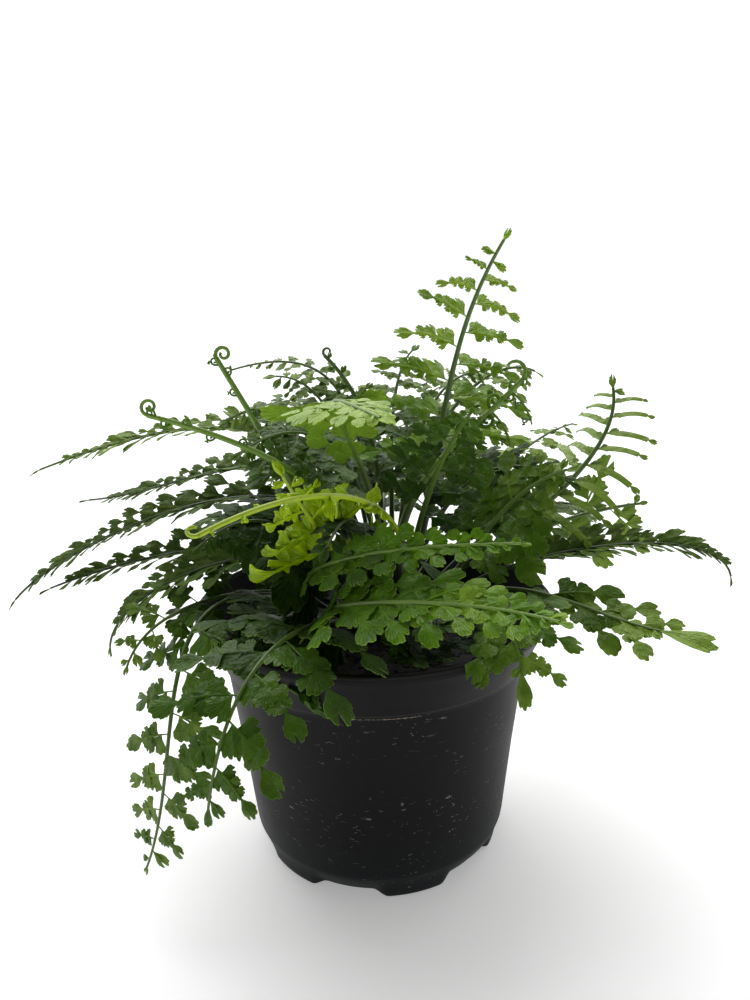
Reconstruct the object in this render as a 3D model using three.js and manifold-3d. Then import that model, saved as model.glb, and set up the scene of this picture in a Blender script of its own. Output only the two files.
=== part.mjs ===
// A mother fern in its round black nursery pot, in millimetres, +Z up.
// The origin is the middle of the pot's foot, on the surface the pot stands on.
import * as THREE from "three";
import { mergeVertices } from "three/addons/utils/BufferGeometryUtils.js";
import Module from "manifold-3d";

const wasm = await Module();
wasm.setup();

// ---- the pot ----
const RIM_DIAMETER = 140; // across the outside of the lip
const POT_HEIGHT = 100;
const BASE_DIAMETER = 97; // across the foot, where the pot touches the surface
const SHOULDER_DIAMETER = 119.6; // across the body just under the collar
const COLLAR_DIAMETER = 121.2; // across the collar's lower edge
const LIP_HEIGHT = 3.6;
const LIP_ROLL = 1.6; // how far the lip stands out past the collar under it
const COLLAR_HEIGHT = 16.5; // from the underside of the lip to the collar's lower edge
const HEEL_HEIGHT = 9.8; // where the body turns in to the foot
const HEEL_DIAMETER = 102;
const WALL = 1.4;
const FLOOR = 2;
const FLOOR_RISE = 3; // the floor stands this far above the feet, except for the middle boss
const BOSS_DIAMETER = 24; // the round flat in the middle of the underside
const FOOT_COUNT = 6;
const FOOT_GAP = 25; // width of the drainage gap between two feet
const FOOT_GAP_HEIGHT = 2.4;
const DRAIN_COUNT = 8;
const DRAIN_DIAMETER = 9;
const DRAIN_RING = 66; // diameter of the circle the drain holes sit on
const POT_SIDES = 40;

// ---- what fills it ----
const SOIL_DROP = 12; // the soil's surface below the rim
const SOIL_CLEARANCE = 0.35; // between the root ball and the pot
const SOIL_MOUND = 3; // the soil stands this much higher in the middle
const CROWN_RADIUS = 18;
const CROWN_HEIGHT = 9;
const CROWN_OFFSET = 6; // the crown sits this far to the right of the pot's axis
const SEAT_CLEARANCE = 0.3; // around each stem where it leaves the crown

// ---- the fronds ----
const LISTED_RIM = 140; // the rim the frond list below is written for: the plant grows with its pot
const STEM_DIAMETER = 2;
const STEM_TIP_SHARE = 0.45; // the stem's thickness at its tip, as a share of STEM_DIAMETER
const STEM_SIDES = 5;
const LEAF_THICKNESS = 0.8;
const LEAF_WIDTH = 11; // the widest a leaflet gets
const LEAF_GAP = 0.6; // the least room a leaflet leaves to its neighbours
const COIL_TURN = 1.7; // spacing of the turns in a coiled stem tip
const GROWTH = RIM_DIAMETER / LISTED_RIM;

const potMaterial = new THREE.MeshStandardMaterial({ color: 0x1b1d1f, roughness: 0.55, metalness: 0 });
const soilMaterial = new THREE.MeshStandardMaterial({ color: 0x1a120c, roughness: 0.97, metalness: 0 });
const crownMaterial = new THREE.MeshStandardMaterial({ color: 0x2c1d12, roughness: 0.9, metalness: 0 });
const FROND_COLOURS = { dark: 0x294a2a, mid: 0x3b6a2a, light: 0x5c8f2f, young: 0x94bf2e };

// A closed mesh as a solid that can be joined and cut.
function solidFrom(geometry) {
  const bare = geometry.clone();
  bare.deleteAttribute("normal");
  bare.deleteAttribute("uv");
  const merged = mergeVertices(bare, 1e-4);
  return new wasm.Manifold(new wasm.Mesh({
    numProp: 3,
    vertProperties: new Float32Array(merged.attributes.position.array),
    triVerts: new Uint32Array(merged.index.array),
  }));
}

function meshFrom(name, solid, material) {
  const cut = solid.getMesh();
  const geometry = new THREE.BufferGeometry();
  geometry.setAttribute("position", new THREE.BufferAttribute(cut.vertProperties, 3));
  geometry.setIndex(new THREE.BufferAttribute(cut.triVerts, 1));
  geometry.computeVertexNormals();
  const mesh = new THREE.Mesh(geometry, material);
  mesh.name = name;
  return mesh;
}

// A profile of [radius, height] pairs turned round the pot's axis.
function turned(profile, sides) {
  const points = profile.map(([radius, height]) => new THREE.Vector2(radius, height));
  return new THREE.LatheGeometry(points, sides).rotateX(Math.PI / 2);
}

// ---- the pot: a thin moulded shell with a rolled lip, a collar and feet ----
function wallRadius(height) {
  const shoulder = POT_HEIGHT - LIP_HEIGHT - COLLAR_HEIGHT;
  if (height > shoulder) {
    const share = (height - shoulder) / COLLAR_HEIGHT;
    return COLLAR_DIAMETER / 2 + share * (RIM_DIAMETER / 2 - LIP_ROLL - COLLAR_DIAMETER / 2);
  }
  if (height > HEEL_HEIGHT) {
    const share = (height - HEEL_HEIGHT) / (shoulder - HEEL_HEIGHT);
    return HEEL_DIAMETER / 2 + share * (SHOULDER_DIAMETER - HEEL_DIAMETER) / 2;
  }
  return BASE_DIAMETER / 2 + (height / HEEL_HEIGHT) * (HEEL_DIAMETER - BASE_DIAMETER) / 2;
}

// The pot's inside from the rim down to the floor, drawn in from the wall by the clearance given.
function insideProfile(clearance, top) {
  const lipFoot = POT_HEIGHT - LIP_HEIGHT;
  const shoulder = lipFoot - COLLAR_HEIGHT;
  const floorTop = FLOOR_RISE + FLOOR;
  const mouth = RIM_DIAMETER / 2 - LIP_ROLL - WALL;
  const waist = wallRadius(shoulder) - WALL;
  const slope = (mouth - waist) / COLLAR_HEIGHT;
  return [
    [waist + slope * (Math.min(top, lipFoot) - shoulder) - clearance, Math.min(top, lipFoot)],
    [waist - clearance, shoulder],
    [wallRadius(floorTop + 4) - WALL - clearance, floorTop + 4 + clearance],
    [wallRadius(floorTop) - WALL - 2.5 - clearance, floorTop + clearance],
    [0, floorTop + clearance],
  ];
}

function potSolid() {
  const rim = RIM_DIAMETER / 2;
  const lipFoot = POT_HEIGHT - LIP_HEIGHT;
  const shoulder = lipFoot - COLLAR_HEIGHT;
  const profile = [
    [0, 0],
    [BOSS_DIAMETER / 2, 0],
    [BOSS_DIAMETER / 2 + 1, FLOOR_RISE],
    [BASE_DIAMETER / 2 - 4.5, FLOOR_RISE],
    [BASE_DIAMETER / 2 - 3.5, 0],
    [BASE_DIAMETER / 2, 0],
    [HEEL_DIAMETER / 2, HEEL_HEIGHT],
    [SHOULDER_DIAMETER / 2, shoulder - 0.8],
    [COLLAR_DIAMETER / 2, shoulder],
    [rim - LIP_ROLL, lipFoot],
    [rim - 0.4, lipFoot + 0.5],
    [rim, lipFoot + LIP_HEIGHT / 2],
    [rim - 0.6, POT_HEIGHT - 0.5],
    [rim - LIP_ROLL, POT_HEIGHT],
    [rim - LIP_ROLL - WALL + 0.4, POT_HEIGHT - 0.4],
    ...insideProfile(0, POT_HEIGHT),
  ];
  let pot = solidFrom(turned(profile, POT_SIDES));
  for (let i = 0; i < DRAIN_COUNT; i += 1) {
    const angle = ((i + 0.5) / DRAIN_COUNT) * 2 * Math.PI;
    const drill = new THREE.CylinderGeometry(DRAIN_DIAMETER / 2, DRAIN_DIAMETER / 2, 4 * FLOOR, 10);
    drill.rotateX(Math.PI / 2);
    drill.translate(DRAIN_RING / 2 * Math.cos(angle), DRAIN_RING / 2 * Math.sin(angle), FLOOR_RISE + FLOOR / 2);
    pot = pot.subtract(solidFrom(drill));
  }
  for (let i = 0; i < FOOT_COUNT; i += 1) {
    const angle = ((i + 0.25) / FOOT_COUNT) * 2 * Math.PI;
    const notch = new THREE.BoxGeometry(10, FOOT_GAP, 2 * FOOT_GAP_HEIGHT);
    notch.translate(BASE_DIAMETER / 2 - 1, 0, 0);
    notch.rotateZ(angle);
    pot = pot.subtract(solidFrom(notch));
  }
  return pot;
}

// ---- the root ball, which has taken the shape of the pot ----
function soilSolid() {
  const top = POT_HEIGHT - SOIL_DROP;
  const profile = [
    ...insideProfile(SOIL_CLEARANCE, top).reverse(),
    [CROWN_RADIUS * 1.9, top + SOIL_MOUND * 0.6],
    [0, top + SOIL_MOUND],
  ];
  return solidFrom(turned(profile, POT_SIDES));
}

// ---- the crown: the short scaly rootstock that every frond grows from ----
function crownTop() {
  return POT_HEIGHT - SOIL_DROP + SOIL_MOUND + CROWN_HEIGHT;
}

function crownSolid(clearance) {
  const dome = new THREE.SphereGeometry(1, 18, 10);
  dome.rotateX(Math.PI / 2);
  dome.scale(CROWN_RADIUS + clearance, CROWN_RADIUS + clearance, CROWN_HEIGHT + 4 + clearance);
  dome.translate(CROWN_OFFSET, 0, crownTop() - CROWN_HEIGHT - 4);
  return solidFrom(dome);
}

// Where a stem is seated, just inside the crown: share is how far out it is from the middle.
function seat(share, angle) {
  const turn = THREE.MathUtils.degToRad(angle);
  const height = (CROWN_HEIGHT + 4) * Math.sqrt(1 - share * share);
  return new THREE.Vector3(
    CROWN_OFFSET + share * CROWN_RADIUS * Math.cos(turn),
    share * CROWN_RADIUS * Math.sin(turn),
    crownTop() - CROWN_HEIGHT - 4 + height - 1.5,
  );
}

// A point of a frond: [right, back, up] from the pot's axis and the height of its rim.
function grown([x, y, z]) {
  return new THREE.Vector3(x * GROWTH, y * GROWTH, POT_HEIGHT + z * GROWTH);
}

// ---- a stem: a tube along its curve that thins towards the tip ----
function stemCurve(frond) {
  const foot = seat(...frond.seat);
  return new THREE.CubicBezierCurve3(foot, grown(frond.launch), grown(frond.shoulder), grown(frond.tip));
}

function stemSolid(curve, steps, thickness, tipShare) {
  const outline = new THREE.Shape();
  for (let i = 0; i < STEM_SIDES; i += 1) {
    const angle = (i / STEM_SIDES) * 2 * Math.PI;
    const x = (thickness / 2) * Math.cos(angle);
    const y = (thickness / 2) * Math.sin(angle);
    if (i === 0) outline.moveTo(x, y);
    else outline.lineTo(x, y);
  }
  outline.closePath();
  const tube = new THREE.ExtrudeGeometry(outline, { steps, extrudePath: curve, bevelEnabled: false });
  const stations = curve.getSpacedPoints(steps);
  const place = tube.attributes.position;
  const corner = new THREE.Vector3();
  for (let i = 0; i < place.count; i += 1) {
    corner.fromBufferAttribute(place, i);
    let nearest = 0;
    stations.forEach((station, k) => {
      if (station.distanceTo(corner) < stations[nearest].distanceTo(corner)) nearest = k;
    });
    const share = 1 - (1 - tipShare) * (nearest / steps);
    corner.sub(stations[nearest]).multiplyScalar(share).add(stations[nearest]);
    place.setXYZ(i, corner.x, corner.y, corner.z);
  }
  return solidFrom(tube);
}

// ---- a leaflet: a thin wedge-shaped blade, widest near its outer end ----
function leafletSolid(root, along, across, length, width, gap) {
  const blade = new THREE.Shape();
  blade.moveTo(-gap, 0);
  blade.lineTo(length * 0.6, -width / 2 - gap);
  blade.lineTo(length + gap, 0);
  blade.lineTo(length * 0.6, width / 2 + gap);
  blade.closePath();
  const depth = LEAF_THICKNESS + 2 * gap;
  const plate = new THREE.ExtrudeGeometry(blade, { depth, bevelEnabled: false });
  plate.translate(0, 0, -depth / 2);
  const normal = new THREE.Vector3().crossVectors(along, across).normalize();
  const side = new THREE.Vector3().crossVectors(normal, along).normalize();
  const place = new THREE.Matrix4().makeBasis(along, side, normal).setPosition(root);
  return solidFrom(plate.applyMatrix4(place));
}

// The way across the stem at each station, carried along the stem without twisting.
function acrossVectors(curve, stations, face, middle) {
  const tangents = stations.map((share) => curve.getTangentAt(share));
  const across = new Array(stations.length);
  across[middle] = new THREE.Vector3().crossVectors(tangents[middle], new THREE.Vector3(...face)).normalize();
  const carry = (from, to) => {
    const way = across[from].clone();
    way.addScaledVector(tangents[to], -way.dot(tangents[to]));
    across[to] = way.normalize();
  };
  for (let i = middle + 1; i < stations.length; i += 1) carry(i - 1, i);
  for (let i = middle - 1; i >= 0; i -= 1) carry(i + 1, i);
  return { tangents, across };
}

// How long the leaflets are along the blade: short at first, longest early on, small at the tip.
function leafletLength(share, longest) {
  const rise = Math.min(1, 0.65 + share * 3);
  const fall = Math.pow(1 - share, 0.75);
  return longest * Math.max(0.18, rise * fall);
}

function stemSteps(curve) {
  return Math.max(5, Math.round(curve.getLength() / 20));
}

// A point in the middle of the stem, which runs straight from each of its steps to the next.
function pointOnStem(curve, share) {
  const steps = stemSteps(curve);
  const step = Math.min(steps - 1, Math.floor(share * steps));
  const start = curve.getPointAt(step / steps);
  return start.lerp(curve.getPointAt((step + 1) / steps), share * steps - step);
}

// The leaflets of one frond, left and right in turn. Each that would grow into a neighbour
// turns aside until it is clear, and if no way is clear it stays shorter.
function addLeaflets(stem, curve, frond, neighbours) {
  const { count, leaf, bare, face, lift = 10, sweep = 25 } = frond;
  const stations = [];
  for (let i = 0; i < count; i += 1) stations.push(bare + (0.97 - bare) * (i / (count - 1)));
  const { tangents, across } = acrossVectors(curve, stations, face, Math.floor(count * 0.4));
  const bladeLength = curve.getLength() * (0.97 - bare);
  const width = Math.min(LEAF_WIDTH * GROWTH, (2 * bladeLength / count) * 0.92);
  let frondSolid = stem;
  for (let i = 0; i < count; i += 1) {
    const share = i / (count - 1);
    const length = leafletLength(share, leaf) * GROWTH;
    const hand = i % 2 === 0 ? 1 : -1;
    const root = pointOnStem(curve, stations[i]);
    const out = across[i].clone().multiplyScalar(hand);
    const up = new THREE.Vector3().crossVectors(out, tangents[i]).multiplyScalar(hand).normalize();
    const blade = clearLeaflet(root, out, up, tangents[i], length, width * (1 - 0.35 * share), lift, sweep, neighbours);
    if (blade) frondSolid = frondSolid.add(blade);
  }
  return frondSolid;
}

function clearLeaflet(root, out, up, forward, length, width, lift, sweep, neighbours) {
  for (const size of [1, 0.75, 0.5, 0.3]) {
    for (const turn of [0, 15, -15, 30, -30, 50, -50, 70, -70]) {
      const pitch = THREE.MathUtils.degToRad(lift + turn);
      const yaw = THREE.MathUtils.degToRad(sweep);
      const along = out.clone().multiplyScalar(Math.cos(pitch)).addScaledVector(up, Math.sin(pitch));
      along.multiplyScalar(Math.cos(yaw)).addScaledVector(forward, Math.sin(yaw)).normalize();
      const span = forward.clone().addScaledVector(along, -forward.dot(along)).normalize();
      const room = leafletSolid(root, along, span, length * size, width * Math.sqrt(size), LEAF_GAP);
      if (isClear(room, neighbours)) {
        return leafletSolid(root, along, span, length * size, width * Math.sqrt(size), 0);
      }
    }
  }
  return null;
}

function boxesMeet(a, b) {
  return [0, 1, 2].every((k) => a.min[k] < b.max[k] && b.min[k] < a.max[k]);
}

function isClear(solid, neighbours) {
  const box = solid.boundingBox();
  return neighbours.every((other) => (
    !boxesMeet(box, other.box) || solid.intersect(other.solid).volume() < 1e-6
  ));
}

// ---- a coil: the unopened tip of a young frond, rolled up in one plane ----
function coilCurve(tip, tangent, side, turns, inner) {
  const outer = inner + COIL_TURN * turns;
  const centre = tip.clone().addScaledVector(side, outer);
  const points = [];
  for (let i = 0; i <= 10 * turns; i += 1) {
    const angle = (i / 10) * 2 * Math.PI;
    const radius = outer - COIL_TURN * (i / 10);
    const point = centre.clone();
    point.addScaledVector(side, -radius * Math.cos(angle));
    point.addScaledVector(tangent, radius * Math.sin(angle));
    points.push(point);
  }
  return new THREE.CatmullRomCurve3(points);
}

function coilSolid(curve, face, turns, thickness) {
  const tangent = curve.getTangentAt(1);
  const side = new THREE.Vector3().crossVectors(tangent, new THREE.Vector3(...face)).normalize();
  const inner = COIL_TURN * 0.5;
  const coil = coilCurve(curve.getPointAt(1), tangent, side, turns, inner);
  return stemSolid(coil, Math.round(10 * turns), thickness, 0.7);
}

// The fronds, by where each goes. seat is [share, angle] on the crown. launch, shoulder and tip
// steer the stem, as [right, back, up] from the pot's axis and the rim. bare is the share of the
// stem without leaflets, leaf the longest leaflet, count how many there are, face the way the
// blade's upper side looks, lift how far the leaflets stand up from flat, sweep how far they
// point forward, and coil the turns of an unopened tip.
const FRONDS = {
  tall: { seat: [0.4, 35], launch: [30, 15, 40], shoulder: [25, 20, 95], tip: [54, 6, 139], age: "light",
    bare: 0.42, leaf: 27, count: 12, face: [0.2, -1, 0.2], lift: 8, sweep: 15 },
  hook: { seat: [0.4, -20], launch: [0, 5, 40], shoulder: [35, 0, 60], tip: [57, -2, 84], age: "light",
    bare: 0.45, leaf: 8, count: 5, face: [-0.4, -1, 0.4], lift: 0, sweep: 40, coil: 0.7 },
  right_tall: { seat: [0.67, 12], launch: [35, 10, 10], shoulder: [100, 5, 45], tip: [97, 18, 78], age: "mid",
    bare: 0.5, leaf: 24, count: 10, face: [-0.5, -0.6, 0.6], lift: -10, sweep: 15 },
  right_mid: { seat: [0.67, 38], launch: [45, 20, 10], shoulder: [85, 25, 30], tip: [127, 24, 29], age: "mid",
    bare: 0.45, leaf: 13, count: 8, face: [0, -0.9, 0.5], lift: 5, sweep: 25 },
  right_low: { seat: [0.89, 0], launch: [40, 5, 14], shoulder: [128, -15, 36], tip: [134, -16, 10], age: "dark",
    bare: 0.3, leaf: 14, count: 11, face: [0, -0.35, 1], lift: 15, sweep: 35 },
  right_lower: { seat: [0.89, -25], launch: [50, -10, 20], shoulder: [75, -25, 0], tip: [95, -50, 4], age: "mid",
    bare: 0.5, leaf: 14, count: 5, face: [0.1, -0.6, 0.8], lift: 5, sweep: 40 },
  front_big: { seat: [0.89, -126], launch: [-45, -55, 20], shoulder: [20, -75, 30], tip: [46, -110, 34],
    age: "light", bare: 0.3, leaf: 18, count: 8, face: [0.1, -0.6, 0.8], lift: 5, sweep: 40 },
  front_mid: { seat: [0.89, -160], launch: [-50, -25, 20], shoulder: [-5, -60, 40], tip: [42, -80, 45],
    age: "light", bare: 0.35, leaf: 13, count: 8, face: [0, -0.7, 0.7], lift: 5, sweep: 40 },
  hang_left: { seat: [0.89, 183], launch: [-90, -22, 38], shoulder: [-60, -60, -25], tip: [-81, -60, -75],
    age: "mid", bare: 0.38, leaf: 19, count: 10, face: [-0.5, -0.9, 0.2], lift: 0, sweep: 10 },
  hang_front: { seat: [0.89, -112], launch: [-15, -35, 8], shoulder: [-40, -85, 30], tip: [-49, -94, -28],
    age: "mid", bare: 0.3, leaf: 20, count: 7, face: [-0.3, -0.8, 0.6], lift: 5, sweep: 20 },
  left_rim: { seat: [0.89, 165], launch: [-30, 2, 8], shoulder: [-80, -25, 16], tip: [-88, -38, -10], age: "mid",
    bare: 0.45, leaf: 13, count: 6, face: [0, -0.7, 0.7], lift: 5, sweep: 25 },
  left_a: { seat: [0.67, 172], launch: [-15, 2, 35], shoulder: [-95, -20, 20], tip: [-100, -20, -10],
    age: "dark", bare: 0.35, leaf: 15, count: 8, face: [-0.3, -0.5, 0.9], lift: 5, sweep: 35 },
  left_b: { seat: [0.89, 150], launch: [-30, 10, 30], shoulder: [-90, 5, 20], tip: [-124, -10, 10], age: "dark",
    bare: 0.35, leaf: 15, count: 9, face: [0, -0.4, 1], lift: 5, sweep: 35 },
  left_c: { seat: [0.67, 152], launch: [0, 12, 75], shoulder: [-120, 5, 28], tip: [-139, -8, 5], age: "dark",
    bare: 0.35, leaf: 16, count: 11, face: [-0.3, -0.4, 1], lift: 5, sweep: 35 },
  left_d: { seat: [0.67, 128], launch: [-20, 35, 80], shoulder: [-75, 40, 35], tip: [-124, 38, 33], age: "dark",
    bare: 0.4, leaf: 14, count: 9, face: [0, -0.3, 1], lift: 5, sweep: 40 },
  left_e: { seat: [0.4, 190], launch: [-5, 20, 85], shoulder: [-80, 30, 70], tip: [-132, 12, 52], age: "mid",
    bare: 0.4, leaf: 15, count: 11, face: [0, -0.35, 1], lift: 5, sweep: 40 },
  crozier_left: { seat: [0.4, 225], launch: [-2, -16, 45], shoulder: [-32, -27, 65], tip: [-74, -32, 78],
    age: "light", bare: 0.55, leaf: 3, count: 3, face: [0, -1, 0.2], lift: 30, sweep: 30, coil: 1.2 },
  crozier_up: { seat: [0.67, 205], launch: [-15, -15, 25], shoulder: [-35, -10, 60], tip: [-54, -10, 95],
    age: "light", bare: 0.6, leaf: 3, count: 3, face: [0, -1, 0.2], lift: 30, sweep: 30, coil: 1.2 },
  crozier_bright: { seat: [0.89, -80], launch: [20, -30, 40], shoulder: [0, -85, 75], tip: [-40, -115, 60],
    age: "young", bare: 0.4, leaf: 7, count: 5, face: [0, -0.6, 0.8], lift: 20, sweep: 30, coil: 0.7 },
  bright: { seat: [0.67, 235], launch: [-6, -22, 20], shoulder: [-15, -50, 35], tip: [-27, -56, 61],
    age: "young", bare: 0.5, leaf: 13, count: 6, face: [0, -1, 0.3], lift: 0, sweep: 20 },
  top_left: { seat: [0.4, 150], launch: [0, 35, 70], shoulder: [-10, 60, 100], tip: [-62, 60, 86], age: "mid",
    bare: 0.5, leaf: 7, count: 7, face: [0, -0.4, 1], lift: 10, sweep: 30 },
  top_crozier: { seat: [0.4, 115], launch: [5, 25, 35], shoulder: [5, 30, 70], tip: [-18, 30, 93], age: "mid",
    bare: 0.5, leaf: 8, count: 5, face: [0, -1, 0.3], lift: 10, sweep: 30, coil: 0.7 },
  near_high: { seat: [0.4, -90], launch: [5, -20, 70], shoulder: [-30, -20, 90], tip: [3, -98, 84],
    age: "light", bare: 0.45, leaf: 18, count: 8, face: [0, -0.3, 1], lift: 0, sweep: 20 },
  back_right: { seat: [0.67, 58], launch: [35, 30, 20], shoulder: [65, 65, 50], tip: [99, 85, 54], age: "mid",
    bare: 0.45, leaf: 20, count: 8, face: [-0.3, -0.5, 0.8], lift: 0, sweep: 20 },
  top_mid: { seat: [0.67, 85], launch: [10, 35, 30], shoulder: [5, 50, 80], tip: [20, 70, 92], age: "mid",
    bare: 0.4, leaf: 22, count: 8, face: [0, -0.8, 0.6], lift: 0, sweep: 20 },
  top_right: { seat: [0.4, 80], launch: [10, 30, 45], shoulder: [45, 50, 95], tip: [75, 62, 82], age: "mid",
    bare: 0.4, leaf: 20, count: 8, face: [0, -0.4, 1], lift: 0, sweep: 20 },
  mid_left: { seat: [0.67, 192], launch: [-5, 0, 30], shoulder: [-22, 14, 90], tip: [-57, 18, 69], age: "mid",
    bare: 0.4, leaf: 20, count: 8, face: [0, -0.5, 0.9], lift: 0, sweep: 20 },
  mid_front: { seat: [0.67, -62], launch: [14, -20, 38], shoulder: [25, -35, 65], tip: [29, -70, 81],
    age: "light", bare: 0.45, leaf: 16, count: 7, face: [0, -0.7, 0.7], lift: 0, sweep: 20 },
  mid_right: { seat: [0.67, -30], launch: [35, -10, 10], shoulder: [45, -15, 45], tip: [65, -38, 57], age: "mid",
    bare: 0.4, leaf: 15, count: 6, face: [0, -0.7, 0.7], lift: 0, sweep: 20 },
  low_left: { seat: [0.89, -142], launch: [-18, -30, 0], shoulder: [-28, -42, 10], tip: [-48, -54, 0],
    age: "dark", bare: 0.35, leaf: 15, count: 6, face: [0, -0.6, 0.8], lift: 0, sweep: 20 },
  rim_right: { seat: [0.89, -50], launch: [25, -25, 15], shoulder: [45, -50, 22], tip: [46, -66, -2], age: "mid",
    bare: 0.55, leaf: 13, count: 5, face: [0.2, -0.9, 0.4], lift: 0, sweep: 30 },
  rim_front: { seat: [0.89, -95], launch: [16, -28, -2], shoulder: [24, -46, -2], tip: [6, -58, 0], age: "dark",
    bare: 0.5, leaf: 11, count: 5, face: [0, -0.6, 0.8], lift: 10, sweep: 30 },
  fill_front: { seat: [0.67, -104], launch: [0, -20, 32], shoulder: [-6, -34, 52], tip: [-14, -64, 40], age: "dark",
    bare: 0.4, leaf: 18, count: 6, face: [0, -0.6, 0.8], lift: 0, sweep: 20 },
  fill_left: { seat: [0.89, 209], launch: [-18, -15, 28], shoulder: [-36, -24, 50], tip: [-58, -34, 34], age: "dark",
    bare: 0.35, leaf: 18, count: 6, face: [0, -0.5, 0.9], lift: 0, sweep: 20 },
  fill_right: { seat: [0.4, 8], launch: [26, 8, 44], shoulder: [48, 6, 60], tip: [74, -8, 46], age: "dark",
    bare: 0.4, leaf: 17, count: 6, face: [0, -0.6, 0.8], lift: 0, sweep: 20 },
  fill_mid: { seat: [0.15, 185], launch: [0, -2, 60], shoulder: [-20, -8, 78], tip: [-44, -24, 64], age: "mid",
    bare: 0.45, leaf: 18, count: 7, face: [0, -0.5, 0.9], lift: 0, sweep: 20 },
  fill_back: { seat: [0.15, 50], launch: [12, 10, 50], shoulder: [22, 26, 86], tip: [48, 40, 84], age: "mid",
    bare: 0.45, leaf: 18, count: 7, face: [0, -0.6, 0.8], lift: 0, sweep: 20 },
  fill_top: { seat: [0.67, 108], launch: [-6, 28, 45], shoulder: [-14, 40, 84], tip: [-40, 44, 84], age: "mid",
    bare: 0.4, leaf: 18, count: 7, face: [0, -0.5, 0.9], lift: 0, sweep: 20 },
  fill_low_front: { seat: [0.89, -65], launch: [18, -26, 4], shoulder: [22, -44, 10], tip: [16, -62, 8], age: "mid",
    bare: 0.45, leaf: 12, count: 5, face: [0, -0.6, 0.8], lift: 10, sweep: 20 },
  back_a: { seat: [0.89, 45], launch: [40, 30, 10], shoulder: [75, 50, 35], tip: [105, 62, 15], age: "dark",
    bare: 0.35, leaf: 18, count: 8, face: [0.3, 0.2, 1], lift: 0, sweep: 25 },
  back_b: { seat: [0.89, 75], launch: [25, 35, 45], shoulder: [45, 80, 60], tip: [65, 115, 25], age: "mid",
    bare: 0.35, leaf: 20, count: 8, face: [0.1, 0.3, 1], lift: 0, sweep: 25 },
  back_c: { seat: [0.89, 95], launch: [5, 35, 35], shoulder: [5, 85, 50], tip: [10, 125, 5], age: "mid",
    bare: 0.35, leaf: 20, count: 8, face: [0, 0.3, 1], lift: 0, sweep: 25 },
  back_d: { seat: [0.89, 115], launch: [-15, 35, 45], shoulder: [-40, 80, 60], tip: [-55, 112, 20], age: "mid",
    bare: 0.35, leaf: 20, count: 8, face: [-0.1, 0.3, 1], lift: 0, sweep: 25 },
  back_e: { seat: [0.89, 133], launch: [-25, 22, 15], shoulder: [-65, 55, 35], tip: [-95, 78, 5], age: "dark",
    bare: 0.35, leaf: 18, count: 8, face: [-0.3, 0.2, 1], lift: 0, sweep: 25 },
};

// ---- putting it together ----
const fern = new THREE.Group();
fern.name = "potted_fern";
const pot = potSolid();
const soil = soilSolid();
const crown = crownSolid(0);
const crownRoom = crownSolid(SEAT_CLEARANCE);
fern.add(meshFrom("pot", pot, potMaterial));
fern.add(meshFrom("soil", soil.subtract(crownRoom), soilMaterial));
fern.add(meshFrom("crown", crown, crownMaterial));

const stems = Object.entries(FRONDS).map(([name, frond]) => {
  const curve = stemCurve(frond);
  let solid = stemSolid(curve, stemSteps(curve), STEM_DIAMETER, STEM_TIP_SHARE);
  if (frond.coil) {
    solid = solid.add(coilSolid(curve, frond.face, frond.coil, STEM_DIAMETER * 0.6));
  }
  return { name, frond, curve, solid: solid.subtract(crownRoom) };
});
const standing = [pot, soil, crownRoom].map((solid) => ({ solid, box: solid.boundingBox() }));
const stemRoom = stems.map(({ name, solid }) => ({ name, solid, box: solid.boundingBox() }));
const grownFronds = [];
for (const { name, frond, curve, solid } of stems) {
  const others = stemRoom.filter((other) => other.name !== name);
  const neighbours = [...standing, ...others, ...grownFronds];
  const whole = addLeaflets(solid, curve, frond, neighbours);
  grownFronds.push({ solid: whole, box: whole.boundingBox() });
  const colour = FROND_COLOURS[frond.age];
  const material = new THREE.MeshStandardMaterial({ color: colour, roughness: 0.42, metalness: 0 });
  fern.add(meshFrom("frond_" + name, whole, material));
}

export default fern;
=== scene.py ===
"""A mother fern in its round black nursery pot: the looks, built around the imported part.

Lengths are in millimetres until a mesh is made, and the frame is the part's: the pot's foot is at the origin.
"""

import math

import bpy
import numpy as np
from mathutils import Matrix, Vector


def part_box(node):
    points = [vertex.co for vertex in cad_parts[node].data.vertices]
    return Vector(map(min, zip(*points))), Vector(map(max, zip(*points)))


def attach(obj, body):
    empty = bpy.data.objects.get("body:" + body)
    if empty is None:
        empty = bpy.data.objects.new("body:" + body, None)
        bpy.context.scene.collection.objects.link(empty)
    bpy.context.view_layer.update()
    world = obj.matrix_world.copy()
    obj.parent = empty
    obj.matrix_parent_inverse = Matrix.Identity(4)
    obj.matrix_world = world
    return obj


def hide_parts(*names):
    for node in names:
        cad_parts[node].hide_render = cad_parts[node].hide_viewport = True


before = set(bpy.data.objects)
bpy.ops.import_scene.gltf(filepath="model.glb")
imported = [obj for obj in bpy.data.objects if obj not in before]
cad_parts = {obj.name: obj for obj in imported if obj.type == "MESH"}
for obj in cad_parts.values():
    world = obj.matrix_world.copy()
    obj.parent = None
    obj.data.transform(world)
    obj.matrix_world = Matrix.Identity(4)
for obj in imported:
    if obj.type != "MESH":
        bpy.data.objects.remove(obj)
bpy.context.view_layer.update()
rng = np.random.default_rng(11)

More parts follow.
